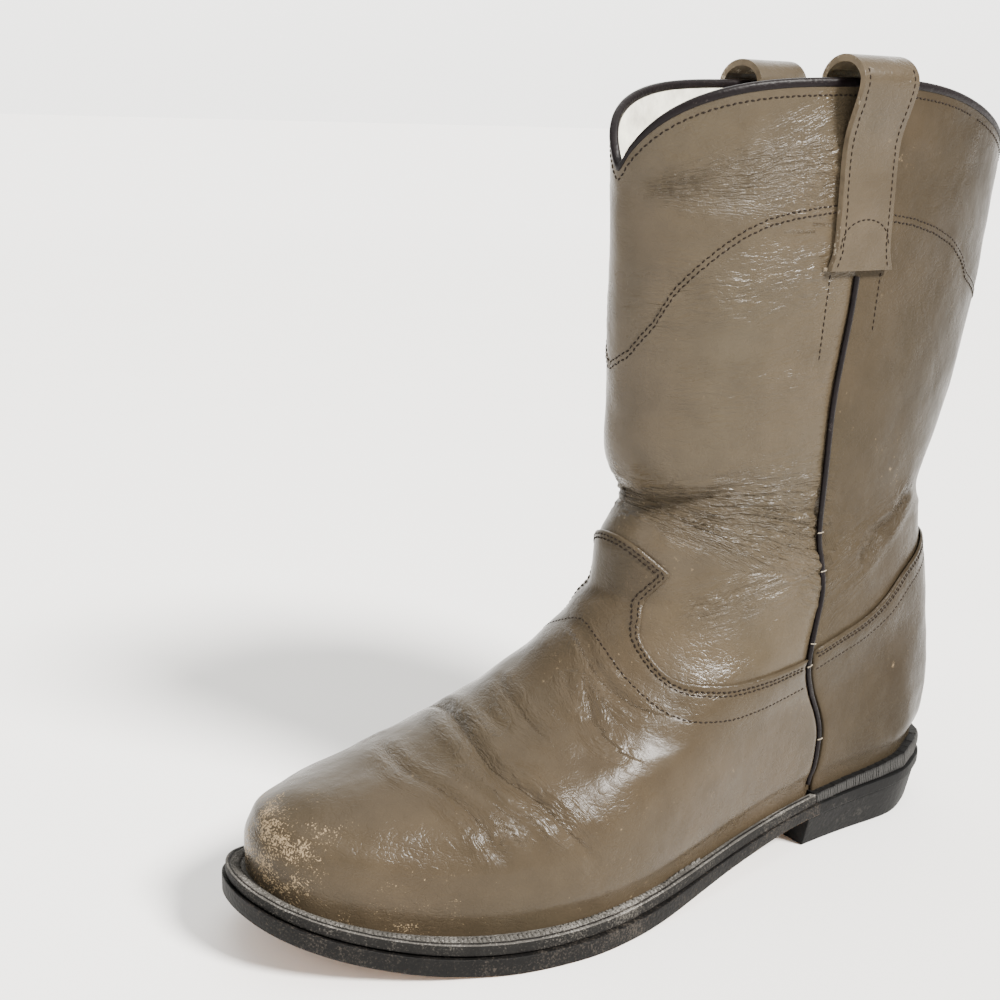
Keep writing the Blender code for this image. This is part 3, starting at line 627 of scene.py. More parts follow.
def surface(rowValues, columnValues):
    # Points of the upper's outer face. Rows are lengths up from the feather line.
    rowValues = np.clip(np.asarray(rowValues, float), 0, rowPlaces[-1] - 1e-9)
    index = np.searchsorted(rowPlaces, rowValues, side="right") - 1
    width = rowSteps[index][:, None, None]
    share = ((rowValues - rowPlaces[index]) / rowSteps[index])[:, None, None]
    across = hermite(rings[index], rings[index + 1], ringSlopes[index], ringSlopes[index + 1], share, width)
    columnValues = np.asarray(columnValues, float)
    low = np.floor(columnValues).astype(int)
    part = (columnValues - low)[None, :, None]
    corners = [across[:, (low + shift) % boot["columns"]] for shift in (-1, 0, 1, 2)]
    slopeFirst = (corners[2] - corners[0]) / 2
    slopeSecond = (corners[3] - corners[1]) / 2
    return hermite(corners[1], corners[2], slopeFirst, slopeSecond, part, 1.0)


def gridNormals(points, closed):
    up = np.gradient(points, axis=0)
    if closed:
        ahead = np.roll(points, -1, axis=1) - np.roll(points, 1, axis=1)
    else:
        ahead = np.gradient(points, axis=1)
    normals = np.cross(ahead, up)
    return -normals / np.maximum(np.linalg.norm(normals, axis=2, keepdims=True), 1e-12)


def softNoise(across, along, seed=0):
    # Smooth noise between -1 and 1 on a square lattice
    acrossLow, alongLow = np.floor(across).astype(np.int64), np.floor(along).astype(np.int64)
    u, v = smoothStep(across - acrossLow), smoothStep(along - alongLow)

    def knot(i, j):
        mixed = (i * 374761393 + j * 668265263 + seed * 974711) & 0xFFFFFFFF
        mixed = ((mixed ^ (mixed >> 13)) * 1274126177) & 0xFFFFFFFF
        return ((mixed ^ (mixed >> 16)) & 0xFFFF) / 32767.5 - 1

    lower = knot(acrossLow, alongLow) * (1 - u) + knot(acrossLow + 1, alongLow) * u
    upper = knot(acrossLow, alongLow + 1) * (1 - u) + knot(acrossLow + 1, alongLow + 1) * u
    return lower * (1 - v) + upper * v


def pathDistance(points, path):
    # Distance to a path and the share of the way along it, for points in rows
    path = np.asarray(path, float)
    lengths = np.linalg.norm(np.diff(path, axis=0), axis=1)
    starts = lengthsAlong(path)
    best = np.full(len(points), 1e9)
    where = np.zeros(len(points))
    for index, length in enumerate(lengths):
        along = path[index + 1] - path[index]
        share = np.clip((points - path[index]) @ along / length**2, 0, 1)
        distance = np.linalg.norm(points - path[index] - share[:, None] * along, axis=1)
        closer = distance < best
        best[closer] = distance[closer]
        where[closer] = (starts[index] + share[closer] * length) / starts[-1]
    return best, where


def smoothPath(points, count):
    # Evenly spaced points on a smooth curve through the given ones
    points = np.asarray(points, float)
    steps = np.maximum(np.linalg.norm(np.diff(points, axis=0), axis=1), 1e-9)
    slopes = slopesAt(points, steps)
    share = np.linspace(0, 1, 24, endpoint=False)[:, None]
    dense = [
        hermite(points[i], points[i + 1], slopes[i], slopes[i + 1], share, step) for i, step in enumerate(steps)
    ]
    dense = np.vstack(dense + [points[-1:]])
    travelled = lengthsAlong(dense)
    return resample(dense, travelled, np.linspace(0, travelled[-1], count))


def smoothStep(value):
    value = np.clip(value, 0.0, 1.0)
    return value * value * (3 - 2 * value)


def bell(value, width):
    return np.exp(-((value / width) ** 2))


# Creases, in millimetres: a path of reach, sideways place (outer side positive) and height,
# then the width, the depth and the height of the lips beside it

creases = [
    # across the vamp behind the toe
    ([(236, -25, 54), (240, 5.5, 54), (233.5, 22, 51), (230, 29.5, 47), (227, 37, 39), (222, 44, 30)], 2.2, 0.75, 0.35),
    ([(238, 12, 53), (230, 24, 50), (222, 34, 43), (216, 42, 35)], 1.4, 0.35, 0.15),
    ([(236, -25, 54), (232, -34, 45), (228, -42, 34)], 2.2, 0.6, 0.3),
    # the deepest one, from the ridge down to the welt
    ([(209, -34, 52), (211, -22.5, 63), (216.5, 5, 62), (217, 21, 56), (210, 33, 51), (205, 40, 45),
      (196, 47, 34), (190, 50, 26)], 2.6, 1.5, 0.7),
    ([(221, 8, 60), (221, 20, 55.5), (215, 31, 51), (209, 39, 44), (203, 45, 36)], 1.3, 0.45, 0.2),
    ([(224, 10, 58.5), (223, 21, 54), (218, 31, 49)], 1.1, 0.3, 0.12),
    ([(209, -34, 52), (204, -42, 42), (198, -46, 32)], 2.4, 1.0, 0.4),
    # the short ones on the ridge
    ([(192, -16, 74), (198, 4, 71), (198, 16, 66), (195, 25, 60)], 1.6, 0.55, 0.25),
    ([(205, -4, 68), (207, 6, 67), (205, 13, 64)], 1.6, 0.35, 0.15),
    # below the tongue
    ([(170, -8, 98), (172, 4, 95), (174, 14, 88), (172, 24, 79), (163, 31, 71), (152, 35, 66)], 2.0, 0.8, 0.4),
    ([(174, 14, 88), (179, 20, 78), (180, 26, 68), (176, 33, 58), (168, 38, 52)], 1.8, 0.6, 0.3),
    ([(181, 8, 84), (183, 17, 77), (182, 24, 70)], 1.5, 0.4, 0.2),
    # round the ankle
    ([(154, -14, 142), (154, 0, 142.5), (152, 10, 141), (147, 17, 140), (138, 24, 143), (126, 29, 146)], 2.6, 1.3, 0.6),
    ([(152, -8, 147), (152, 6, 147), (148, 15, 147), (141, 21, 148.5)], 1.5, 0.6, 0.3),
    ([(36, 22, 134), (39, 30, 133), (48, 33, 126), (56, 34, 123), (66, 36, 115), (72, 37, 111)], 2.6, 1.2, 0.5),
    ([(30, -6, 134), (34, 8, 134.5), (36, 22, 134)], 2.6, 0.9, 0.4),
    ([(30, -6, 134), (36, -14, 133), (46, -20, 127), (60, -24, 118)], 2.6, 1.0, 0.4),
    ([(154, -14, 142), (148, -20, 141), (138, -26, 144)], 2.4, 1.0, 0.4),
]
creasePlan = {"points": 26, "margin": 12, "flowWidth": 8.0}

# Fans of small wrinkles, in millimetres: reach and height of the front and of the back, how the
# lines spread from one to the other, how far the fan reaches up and down, and its strength
fans = [
    ((152.0, 141.0), (88.0, 128.0), (0.26, 1.0), 27.0, 1.0),
    ((142.0, 103.0), (84.0, 120.0), (0.7, 1.0), 12.0, 0.55),
    ((150.0, 178.0), (90.0, 182.0), (0.8, 1.0), 22.0, 0.20),
    ((158.0, 248.0), (96.0, 258.0), (0.22, 1.0), 20.0, 0.72),
    ((158.0, 212.0), (92.0, 224.0), (0.9, 1.0), 16.0, 0.42),
    ((88.0, 108.0), (34.0, 133.0), (1.0, 0.5), 18.0, 0.50),
]

# Bulges and hollows, in millimetres: reach and height, their spread, and how far they rise
swellings = [
    ((112, 110), (28, 15), 1.9),
    ((118, 136), (36, 9), -1.3),
    ((76, 116), (10, 9), 0.9),
    ((150, 150), (14, 7), 1.2),
]

# The leather sinks a little beside the cords, in millimetres
seamDip = {"width": 3.0, "depth": 0.5}


def shoeCoordinates(points):
    # Reach, sideways place and height in millimetres
    return np.stack([boot["heelCentre"] - points[:, 1], points[:, 0], points[:, 2]], axis=1) * 1000


def offerFlow(flows, index, amount, along, across):
    # Keeps the strongest flow at each point, and how strong the next one is
    best = flows["best"][index]
    flows["second"][index] = np.maximum(flows["second"][index], np.minimum(best, amount))
    better = amount > best
    chosen = index[better]
    flows["flow"][chosen] = np.stack([along, across, along * 0], axis=1)[better] * millimetre
    flows["best"][chosen] = amount[better]


def creaseDepth(shoe, flows):
    # Height in millimetres and how much painted shade the valley gets
    height, shade = np.zeros(len(shoe)), np.zeros(len(shoe))
    margin = creasePlan["margin"]
    for knots, width, depth, lipRise in creases:
        path = smoothPath(knots, creasePlan["points"])
        near = np.nonzero(np.all((shoe > path.min(0) - margin) & (shoe < path.max(0) + margin), axis=1))[0]
        if not len(near):
            continue
        distance, where = pathDistance(shoe[near], path)
        taper = smoothStep(where / 0.18) * smoothStep((1 - where) / 0.22)
        wobble = 1 + 0.25 * softNoise(where * 9, where * 0 + 3, seed=7)
        lip = bell(distance - 2.1 * width, 1.1 * width)
        height[near] += taper * (lip * lipRise - bell(distance, width) * depth * wobble)
        # painted shade, strongest along the middle of the valley
        shade[near] = np.maximum(shade[near], taper * bell(distance, 0.45 * width) * depth)
        ahead = shoe[near, 0] - np.interp(where, np.linspace(0, 1, len(path)), path[:, 0])
        beside = taper * bell(distance, creasePlan["flowWidth"]) * min(0.3 + 0.35 * depth, 1.0)
        offerFlow(flows, near, beside, where * lengthsAlong(path)[-1], distance * np.sign(ahead))
    return height, np.clip(shade, 0, 1)


def fanWrinkles(shoe, flows):
    # Height in millimetres of the small wrinkles that spread from the folds
    reach, sideways, height = shoe.T
    total = np.zeros(len(shoe))
    along = np.where(sideways > 0, reach, reach + 400)
    for number, ((frontReach, frontHeight), (backReach, backHeight), spread, tall, strength) in enumerate(fans):
        share = np.clip((frontReach - reach) / (frontReach - backReach), -0.15, 1.1)
        middle = frontHeight + (backHeight - frontHeight) * share
        across = (height - middle) / (spread[0] + (spread[1] - spread[0]) * np.clip(share, 0, 1))
        ends = smoothStep((share + 0.1) / 0.15) * smoothStep((1.12 - share) / 0.2)
        inside = bell(across, tall) * ends * strength
        bend = softNoise(along * 0.05, across * 0.08, 5) * 0.9
        lines = softNoise(across * 0.40 + bend, along * 0.045, 11 + number)
        bend = softNoise(along * 0.09, across * 0.1, 6)
        finer = softNoise(across * 0.8 + bend, along * 0.09, 31 + number)
        total += inside * (1.45 * np.abs(lines) + 0.45 * np.abs(finer) - 0.6)
        offerFlow(flows, np.arange(len(shoe)), inside, along, across)
    return total


def swellingHeights(shoe):
    total = np.zeros(len(shoe))
    for (reach, height), (wide, tall), amount in swellings:
        total += amount * bell(shoe[:, 0] - reach, wide) * bell(shoe[:, 2] - height, tall)
    return total


def seamHeights(shoe):
    dip = np.zeros(len(shoe))
    for column in (boot["outerSeam"], boot["innerSeam"]):
        path = shoeCoordinates(surface(np.linspace(0, rowPlaces[-1], 60), [column])[:, 0])
        near = (shoe[:, 1] > path[:, 1].min() - 8.5) & (shoe[:, 1] < path[:, 1].max() + 8.5)
        dip[near] -= seamDip["depth"] * bell(pathDistance(shoe[near], path)[0], seamDip["width"])
    return dip


def worn(points, normals, wrinkled=True, fade=None):
    # Moves points of the upper's face by its creases. Returns the points and what the
    # leather's shader wants to know about them.
    flat, outward = points.reshape(-1, 3), normals.reshape(-1, 3)
    shoe = shoeCoordinates(flat)
    count = len(shoe)
    flows = {"best": np.zeros(count), "second": np.zeros(count), "flow": np.zeros((count, 3))}
    height, shade = creaseDepth(shoe, flows)
    height += seamHeights(shoe) + swellingHeights(shoe)
    small = fanWrinkles(shoe, flows)
    strength = flows["best"] * smoothStep((flows["best"] - flows["second"]) / 0.10)
    reach, sideways, level = shoe.T
    swell = 0.35 * softNoise(level * 0.045 + sideways * 0.02, reach * 0.035, 3)
    swell += 0.16 * softNoise(level * 0.11, reach * 0.09 + sideways * 0.06, 4)
    height += swell * smoothStep((level - 24) / 20)
    if wrinkled:
        height += small
    if fade is not None:
        height *= fade.reshape(-1)
    moved = flat + outward * height[:, None] * millimetre
    return moved, {"flow": flows["flow"], "folded": strength, "creaseShadeMask": shade}


# Edges of the layers, seen from the side: reach and height

belowSole = -0.02
vampEdge = {
    "scoop": [
        (0.0938, 0.0816), (0.117, 0.0797), (0.138, 0.0797), (0.153, 0.0837),
        (0.1575, 0.0929), (0.1548, 0.1031), (0.1461, 0.1163),
    ],
    "tongueFront": (0.192, 0.1642),
    "ahead": 0.42,
    "seamTop": 0.0805,
}
counterEdge = {
    "line": [(0.0895, 0.0851), (0.0564, 0.0939), (0.033, 0.1064), (0.009, 0.1145), (-0.036, 0.1210)],
    "behind": -0.036,
    "seamTop": 0.084,
}
seamGap = 0.002


def seamSide(top, gap):
    path = surface(np.linspace(0, rowPlaces[-1], 160), [boot["outerSeam"]])[:, 0]
    points = [(boot["heelCentre"] - y + gap, z) for _, y, z in path if z < top]
    return [(points[0][0], belowSole)] + points


def insideOutline(points, outline):
    inside = np.zeros(len(points), bool)
    outline = np.asarray(outline)
    x, y = points.T
    for (ax, ay), (bx, by) in zip(outline, np.roll(outline, -1, axis=0)):
        if ay != by:
            crossing = (ay > y) != (by > y)
            inside ^= crossing & (x < (bx - ax) * (y - ay) / (by - ay) + ax)
    return inside


def sideField(points, line, closing):
    # Distance from a line seen from the side, positive inside the outline that it closes
    seen = np.stack([boot["heelCentre"] - points[:, 1], points[:, 2]], axis=1)
    distance = pathDistance(seen, line)[0]
    return np.where(insideOutline(seen, list(line) + list(closing)), distance, -distance)


vampTopLine = np.vstack([smoothPath(vampEdge["scoop"], 60), [vampEdge["tongueFront"]]])
vampLine = np.vstack([seamSide(vampEdge["seamTop"], seamGap), vampTopLine])
counterTopLine = smoothPath(counterEdge["line"], 40)
counterLine = np.vstack([seamSide(counterEdge["seamTop"], -seamGap), counterTopLine])


def vampField(points):
    ahead, top = vampEdge["ahead"], vampEdge["tongueFront"][1]
    return sideField(points, vampLine, [(ahead, top), (ahead, belowSole)])


def counterField(points):
    return sideField(points, counterLine, [(counterEdge["behind"], belowSole)])


def cutAt(bm, layer, level):
    # Splits the faces along the line where the field has this level
    crossing = [
        edge for edge in bm.edges
        if (edge.verts[0][layer] - level) * (edge.verts[1][layer] - level) < 0
    ]
    fresh = []
    for edge in crossing:
        first, second = edge.verts
        share = (level - first[layer]) / (second[layer] - first[layer])
        _, vert = bmesh.utils.edge_split(edge, first, min(max(share, 0.02), 0.98))
        vert[layer] = level
        fresh.append(vert)
    bmesh.ops.connect_verts(bm, verts=fresh)


def gridObject(name, points, facts=None, closed=False):
    # A sheet through rows of points, with the shader's facts on its points
    rows, columns = points.shape[:2]
    facts = {key: np.asarray(value).reshape(rows, columns, -1) for key, value in (facts or {}).items()}
    if closed:
        points = np.concatenate([points, points[:, :1]], axis=1)
        facts = {key: np.concatenate([value, value[:, :1]], axis=1) for key, value in facts.items()}
    bpy.ops.mesh.primitive_grid_add(x_subdivisions=points.shape[1] - 1, y_subdivisions=rows - 1, size=1.0)
    piece = bpy.context.object
    piece.data.vertices.foreach_set("co", points.reshape(-1).astype(np.float32))
    for key, values in facts.items():
        kind, field = ("FLOAT_VECTOR", "vector") if values.shape[2] == 3 else ("FLOAT", "value")
        data = piece.data.attributes.new(key, kind, "POINT").data
        data.foreach_set(field, values.reshape(-1).astype(np.float32))
    piece.data.update()
    with editing(piece):
        if closed:
            bpy.ops.mesh.remove_doubles(threshold=0.000001)
        bpy.ops.mesh.normals_make_consistent(inside=False)
    piece.name = name
    return piece


def trim(piece, field, cuts):
    # Cuts a sheet along levels of a field and removes what lies below zero
    bm = bmesh.new()
    bm.from_mesh(piece.data)
    layer = bm.verts.layers.float.new("field")
    for vert, value in zip(bm.verts, field(eachVector(piece.data.vertices, "co"))):
        vert[layer] = value
    for level in cuts:
        cutAt(bm, layer, level)
    outside = [face for face in bm.faces if sum(vert[layer] for vert in face.verts) / len(face.verts) < 0]
    bmesh.ops.delete(bm, geom=outside, context="FACES")
    bm.to_mesh(piece.data)
    bm.free()


def denseColumns(first, last, backStep, frontStep):
    # Column values, with more of them where the mesh is to be finer
    values = []
    for column in range(first, last):
        turn = column % boot["columns"]
        behind = turn < boot["outerSeam"] or turn >= boot["innerSeam"]
        count = backStep if behind else frontStep
        values += [column + i / count for i in range(count)]
    return np.array(values)


def turnOutward(piece):
    # Turns a sheet's faces to look away from the boot's inside
    centre = Vector((0.0, -0.06, 0.08))
    if sum((face.center - centre).dot(face.normal) * face.area for face in piece.data.polygons) < 0:
        with editing(piece):
            bpy.ops.mesh.flip_normals()


def thicken(piece, thickness, weights=None):
    turnOutward(piece)
    wall = piece.modifiers.new("wall", "SOLIDIFY")
    wall.thickness = thickness
    wall.offset = -1.0
    if weights is not None:
        thickening = piece.vertex_groups.new(name="thickness")
        for index, weight in enumerate(weights):
            thickening.add([index], float(weight), "REPLACE")
        wall.vertex_group = "thickness"
    applyAll(piece)
    piece.vertex_groups.clear()


def lengthDown(points):
    # How far each point lies below the top row, along its column
    steps = np.linalg.norm(np.diff(points, axis=0), axis=2)
    up = np.concatenate([np.zeros((1, points.shape[1])), np.cumsum(steps, axis=0)])
    return up[-1] - up


# Shaft: the leather from the feather line to the collar, cut out under the layers

shaftPlan = {
    "rowStep": 0.00185,
    "fineRowStep": 0.0007,
    "fineZone": (0.098, 0.172),
    "backStep": 6,
    "frontStep": 7,
    "tuck": 0.006,
    "thickness": 0.0010,
    "rimFade": 0.006,
    "archRise": 0.35,
}

# The stitched arch on the shaft: degrees round from the back over the outer side, and height
archLine = [
    (0, 204), (15, 206), (30, 210), (45, 216.5), (49, 222), (58.6, 229.5), (68, 234), (77.5, 237.2),
    (86, 238.8), (102, 242.2), (108, 241.4), (115.7, 239.9), (123, 237.7), (130, 234), (137, 228.7),
    (144.5, 222.2), (152, 214.8), (160, 203.4), (172, 193), (187, 187), (204, 196), (216, 222), (230, 234),
    (258, 242), (275, 239), (292, 234), (302, 229.5), (312, 222), (330, 210), (345, 206), (360, 204),
]


def archField(points):
    # Height above the stitched arch
    reach = boot["heelCentre"] - points[:, :, 1]
    low, high = reach.min(axis=1, keepdims=True), reach.max(axis=1, keepdims=True)
    angle = np.degrees(np.arccos(np.clip(1 - 2 * (reach - low) / (high - low), -1, 1)))
    middle = points[:, :, 0].mean(axis=1, keepdims=True)
    angle = np.where(points[:, :, 0] >= middle, angle, 360 - angle)
    angles, heights = np.array(archLine, float).T
    return points[:, :, 2] - np.interp(angle, angles, heights) * millimetre


def behindSeams(piece):
    # Which faces belong to the back quarter, between the side seams
    middles = eachVector(piece.data.polygons, "center")
    seams = surface(np.linspace(0, rowPlaces[-1], 300), [boot["outerSeam"], boot["innerSeam"]])
    outer, inner = (np.interp(middles[:, 2], seams[:, k, 2], seams[:, k, 1]) for k in (0, 1))
    return middles[:, 1] > np.where(middles[:, 0] > 0, outer, inner)


def makeShaft():
    plan = shaftPlan
    columnValues = denseColumns(0, boot["columns"], plan["backStep"], plan["frontStep"])
    low, high = plan["fineZone"]
    top, step = rowPlaces[-1], plan["rowStep"]
    rowValues = np.concatenate([
        np.arange(0.0, low, step),
        np.arange(low, high, plan["fineRowStep"]),
        np.linspace(high, top, int((top - high) / step) * 5 // 4),
    ])
    points = surface(rowValues, columnValues)
    normals = gridNormals(points, True)
    below = lengthDown(points)
    moved, facts = worn(points, normals, fade=smoothStep(below / plan["rimFade"]))
    arch = archField(points).reshape(-1) * 1000
    ridge = plan["archRise"] * (bell(arch, 0.9) - 0.7 * bell(arch - 2.0, 1.0))
    moved += normals.reshape(-1, 3) * ridge[:, None] * millimetre
    moved = moved.reshape(points.shape)
    piece = gridObject("shaft", moved, facts, closed=True)
    trim(piece, lambda p: plan["tuck"] - np.maximum(vampField(p), counterField(p)), [0.0])
    thicken(piece, plan["thickness"])
    smoothShade(piece, 60)
    for part in ("shaft", "shaftBack"):
        piece.data.materials.append(materials[part])
    piece.data.polygons.foreach_set("material_index", behindSeams(piece).astype(np.int32))
    finish(piece, "shaftLeather", None, ["upper"])
    return piece, {"points": moved, "normals": gridNormals(moved, True), "below": below, "arch": archField(points)}


# Lining: the cream inside, from the insole to the collar

liningPlan = {"rows": 150, "backStep": 5, "frontStep": 4, "outer": 0.0011, "thickness": 0.0011}


def makeLining():
    columnValues = denseColumns(0, boot["columns"], liningPlan["backStep"], liningPlan["frontStep"])
    points = surface(np.linspace(0, rowPlaces[-1], liningPlan["rows"]), columnValues)
    normals = gridNormals(points, True)
    fade = smoothStep(lengthDown(points) / shaftPlan["rimFade"])
    moved, _ = worn(points, normals, wrinkled=False, fade=fade)
    inner = moved - normals.reshape(-1, 3) * liningPlan["outer"]
    piece = gridObject("lining", inner.reshape(points.shape), closed=True)
    thicken(piece, liningPlan["thickness"])
    smoothShade(piece, 60)
    finish(piece, "creamLining", materials["lining"], ["upper"])


# Vamp and counter: layers on the upper with a turned edge

layerPlan = {
    "inner": 0.0002, "base": 0.0003, "rise": 0.0012, "round": 0.0011, "stitchLevel": 0.00155,
    "cuts": [0.0, 0.0004, 0.0011],
    # place, width and depth of the troughs along the stitch rows
    "doubleTrough": (0.0028, 0.0012, 0.00030),
    "singleTrough": (0.0010, 0.00014),
}
vampPlan = {
    "name": "vampLayer", "node": "vamp", "rows": 210, "topRow": 28, "singleRow": 0.0118,
    "columns": denseColumns(7, 31, 8, 10).tolist() + [31.0],
    "closing": [(0.42, 0.1642), (0.42, belowSole), (-0.10, belowSole), (-0.10, 0.0816)],
}
counterPlan = {
    "name": "heelCounter", "node": "counter", "rows": 110, "topRow": 28, "singleRow": 0.0088,
    "columns": denseColumns(-7, 7, 9, 9).tolist() + [7.0],
    "closing": [(-0.036, belowSole), (0.30, belowSole), (0.30, 0.0851)],
}


def layerHeight(depth):
    share = np.clip(depth / layerPlan["round"], 0, 1)
    rounded = 0.25 + 0.75 * np.sqrt(1 - (1 - share) ** 2)
    return layerPlan["inner"] + layerPlan["base"] + layerPlan["rise"] * rounded


def stitchTrough(distance, singleRow):
    # The leather sinks a little along its stitch rows
    place, width, depth = layerPlan["doubleTrough"]
    singleWidth, singleDepth = layerPlan["singleTrough"]
    return depth * bell(distance - place, width) + singleDepth * bell(distance - singleRow, singleWidth)


def toeWearAmount(shoe):
    # Where the toe, the heel and the rim above the welt are rubbed, from 0 to 1
    reach, sideways, height = shoe.T
    tip = smoothStep((reach - 250) / 34) * smoothStep((64 - height) / 18) * smoothStep((34 - sideways) / 30)
    streak = bell(height - 50, 4) * smoothStep((reach - 258) / 10) * smoothStep((285 - reach) / 10)
    rim = smoothStep((reach - 205) / 60) * smoothStep((42 - height) / 12)
    heel = smoothStep((8 - reach) / 14) * smoothStep((50 - height) / 20)
    return np.clip(np.maximum.reduce([tip * 0.85, streak * 0.5, rim * 0.50, heel * 0.35]), 0, 1)


def makeLayer(plan, field, topLine, material):
    def belowTop(points):
        return sideField(points, topLine, plan["closing"])

    rowValues = np.linspace(0, rowPlaces[plan["topRow"]], plan["rows"])
    points = surface(rowValues, plan["columns"])
    moved, facts = worn(points, gridNormals(points, False))
    facts["worn"] = toeWearAmount(shoeCoordinates(moved))
    piece = gridObject(plan["name"], moved.reshape(points.shape), facts)
    trim(piece, field, layerPlan["cuts"])
    turnOutward(piece)
    places = eachVector(piece.data.vertices, "co")
    rise = layerHeight(np.maximum(field(places), 0)) - stitchTrough(belowTop(places), plan["singleRow"])
    places += eachVector(piece.data.vertices, "normal") * rise[:, None]
    piece.data.vertices.foreach_set("co", places.reshape(-1).astype(np.float32))
    piece.data.update()
    most = rise.max() - layerPlan["inner"]
    thicken(piece, float(most), (rise - layerPlan["inner"]) / most)
    smoothShade(piece, 55)
    finish(piece, plan["name"], material, [plan["node"]])
    outer = moved.reshape(points.shape)
    outward = gridNormals(outer, False)
    outer = outer + outward * layerPlan["stitchLevel"]
    edge = belowTop(outer.reshape(-1, 3)).reshape(outer.shape[:2])
    return piece, {"points": outer, "normals": outward, "edge": edge}


shaft, shaftSheet = makeShaft()
print("shaft made:", len(shaft.data.polygons))
makeLining()
vamp, vampSheet = makeLayer(vampPlan, vampField, vampTopLine, materials["vamp"])
print("vamp made:", len(vamp.data.polygons))
counter, counterSheet = makeLayer(counterPlan, counterField, counterTopLine, materials["counter"])
print("counter made:", len(counter.data.polygons))


# Sole, heel, welt and insole: name, width of the worn edge, slot and material

solePlan = {
    "outsole": ("soleEdge", 0.0011, "black_sole", "sole"),
    "heel": ("heelBlock", 0.0014, "black_rubber", "rubber"),
    "welt": ("stitchedWelt", 0.0007, "worn_welt", "welt"),
    "insole": ("sockLining", 0.0005, "cream_insole", "insole"),
}
partsPlan = {"heelBreast": -0.036, "underside": -0.55, "weltTop": 0.45}


def paintFaces(piece, names, choose):
    # More materials for a piece, and which of them each face has
    for name in names:
        piece.data.materials.append(materials[name])
    for face in piece.data.polygons:
        face.material_index = choose(face)


def soleFace(face):
    if face.center.y > partsPlan["heelBreast"]:
        return 2
    return 1 if face.normal.z < partsPlan["underside"] else 0


def makeSolePart(node):
    name, edge, slot, material = solePlan[node]
    piece = cadCopy(node, name)
    roundEdges(piece, edge)
    smoothShade(piece, 40)
    finish(piece, name, materials[material], [node])
    if node == "welt":
        paintFaces(piece, ["weltStrip"], lambda face: int(face.normal.z > partsPlan["weltTop"]))
    if node == "outsole":
        paintFaces(piece, ["tanSole", "rubber"], soleFace)
    return piece


soleParts = {node: makeSolePart(node) for node in solePlan}
print("sole parts made")


# Stitches and other small things that repeat along a line


def levelLines(sheet, field, level, closed):
    # The lines on a sheet where a field has this level, as points with their normals
    points, normals = sheet["points"], sheet["normals"]
    columns = field.shape[1]
    above = field > level
    crossings, links = {}, {}

    def crossing(first, second):
        key = (first, second)
        if key not in crossings:
            share = (level - field[first]) / (field[second] - field[first])
            crossings[key] = tuple(grid[first] * (1 - share) + grid[second] * share for grid in (points, normals))
        return key

    lastColumn = columns if closed else columns - 1
    following = np.roll(above, -1, axis=1)
    mixed = (above[:-1] != above[1:]) | (following[:-1] != following[1:]) | (above[:-1] != following[:-1])
    for i, j in zip(*np.nonzero(mixed)):
        if j >= lastColumn:
            continue
        k = (j + 1) % columns
        corners = [(i, j), (i, k), (i + 1, k), (i + 1, j)]
        found = [
            crossing(*sorted((first, second)))
            for first, second in zip(corners, corners[1:] + corners[:1])
            if above[first] != above[second]
        ]
        if len(found) == 2:
            links.setdefault(found[0], []).append(found[1])
            links.setdefault(found[1], []).append(found[0])
    lines, used = [], set()
    for start in [key for key in links if len(links[key]) == 1] + list(links):
        if start in used:
            continue
        line, here = [start], start
        used.add(start)
        while True:
            onward = [key for key in links[here] if key not in used]
            if not onward:
                break
            here = onward[0]
            used.add(here)
            line.append(here)
        if len(line) > 6:
            lines.append(tuple(np.array([crossings[key][part] for key in line]) for part in (0, 1)))
    return lines


def lineOf(pairs):
    return np.array([place for place, _ in pairs]), np.array([normal for _, normal in pairs])


def spots(line, pitch):
    # Places, directions and normals at even steps along a line
    points, normals = line
    travelled = lengthsAlong(points)
    wanted = (np.arange(int(travelled[-1] / pitch)) + 0.5) * pitch
    at, before, after = (resample(points, travelled, wanted + shift) for shift in (0, -pitch / 2, pitch / 2))
    outward = resample(normals, travelled, wanted)
    return [(Vector(p), Vector(d).normalized(), Vector(n).normalized()) for p, d, n in zip(at, after - before, outward)]


def beadRow(name, places, size, lift, material, tilt=0.0):
    # One small bead, modelled once and copied to each place: size is length, width, height
    bpy.ops.mesh.primitive_uv_sphere_add(segments=6, ring_count=4, radius=0.5)
    bead = bpy.context.object
    with editing(bead):
        bpy.ops.transform.rotate(value=math.radians(90), orient_axis="Y", center_override=(0, 0, 0))
        bpy.ops.transform.resize(value=size)
    corners = eachVector(bead.data.vertices, "co")
    faces = [tuple(face.vertices) for face in bead.data.polygons]
    bpy.data.objects.remove(bead)
    allPoints, allFaces = [], []
    for number, (place, along, outward) in enumerate(places):
        side = outward.cross(along).normalized()
        along = (side.cross(outward)).normalized()
        swing = tilt * (1 if number % 2 else -1)
        turned = along * math.cos(swing) + side * math.sin(swing)
        turn = np.array([turned, outward.cross(turned), outward])
        allPoints.append(corners @ turn + np.array(place + outward * lift))
        allFaces += [tuple(index + number * len(corners) for index in face) for face in faces]
    mesh = bpy.data.meshes.new(name)
    mesh.from_pydata(np.vstack(allPoints).tolist(), [], allFaces)
    piece = bpy.data.objects.new(name, mesh)
    bpy.context.scene.collection.objects.link(piece)
    activate(piece)
    bpy.ops.object.shade_smooth()
    finish(piece, name, material)


stitchPlan = {
    "pitch": 0.0021,
    "size": (0.0016, 0.00066, 0.00050),
    "lift": 0.00004,
    "tilt": 0.20,
    "edgeRows": (0.0021, 0.0034),
    "collarRow": 0.0050,
    "archRows": (-0.0011, 0.0011),
    "fromSeam": 0.001,
}


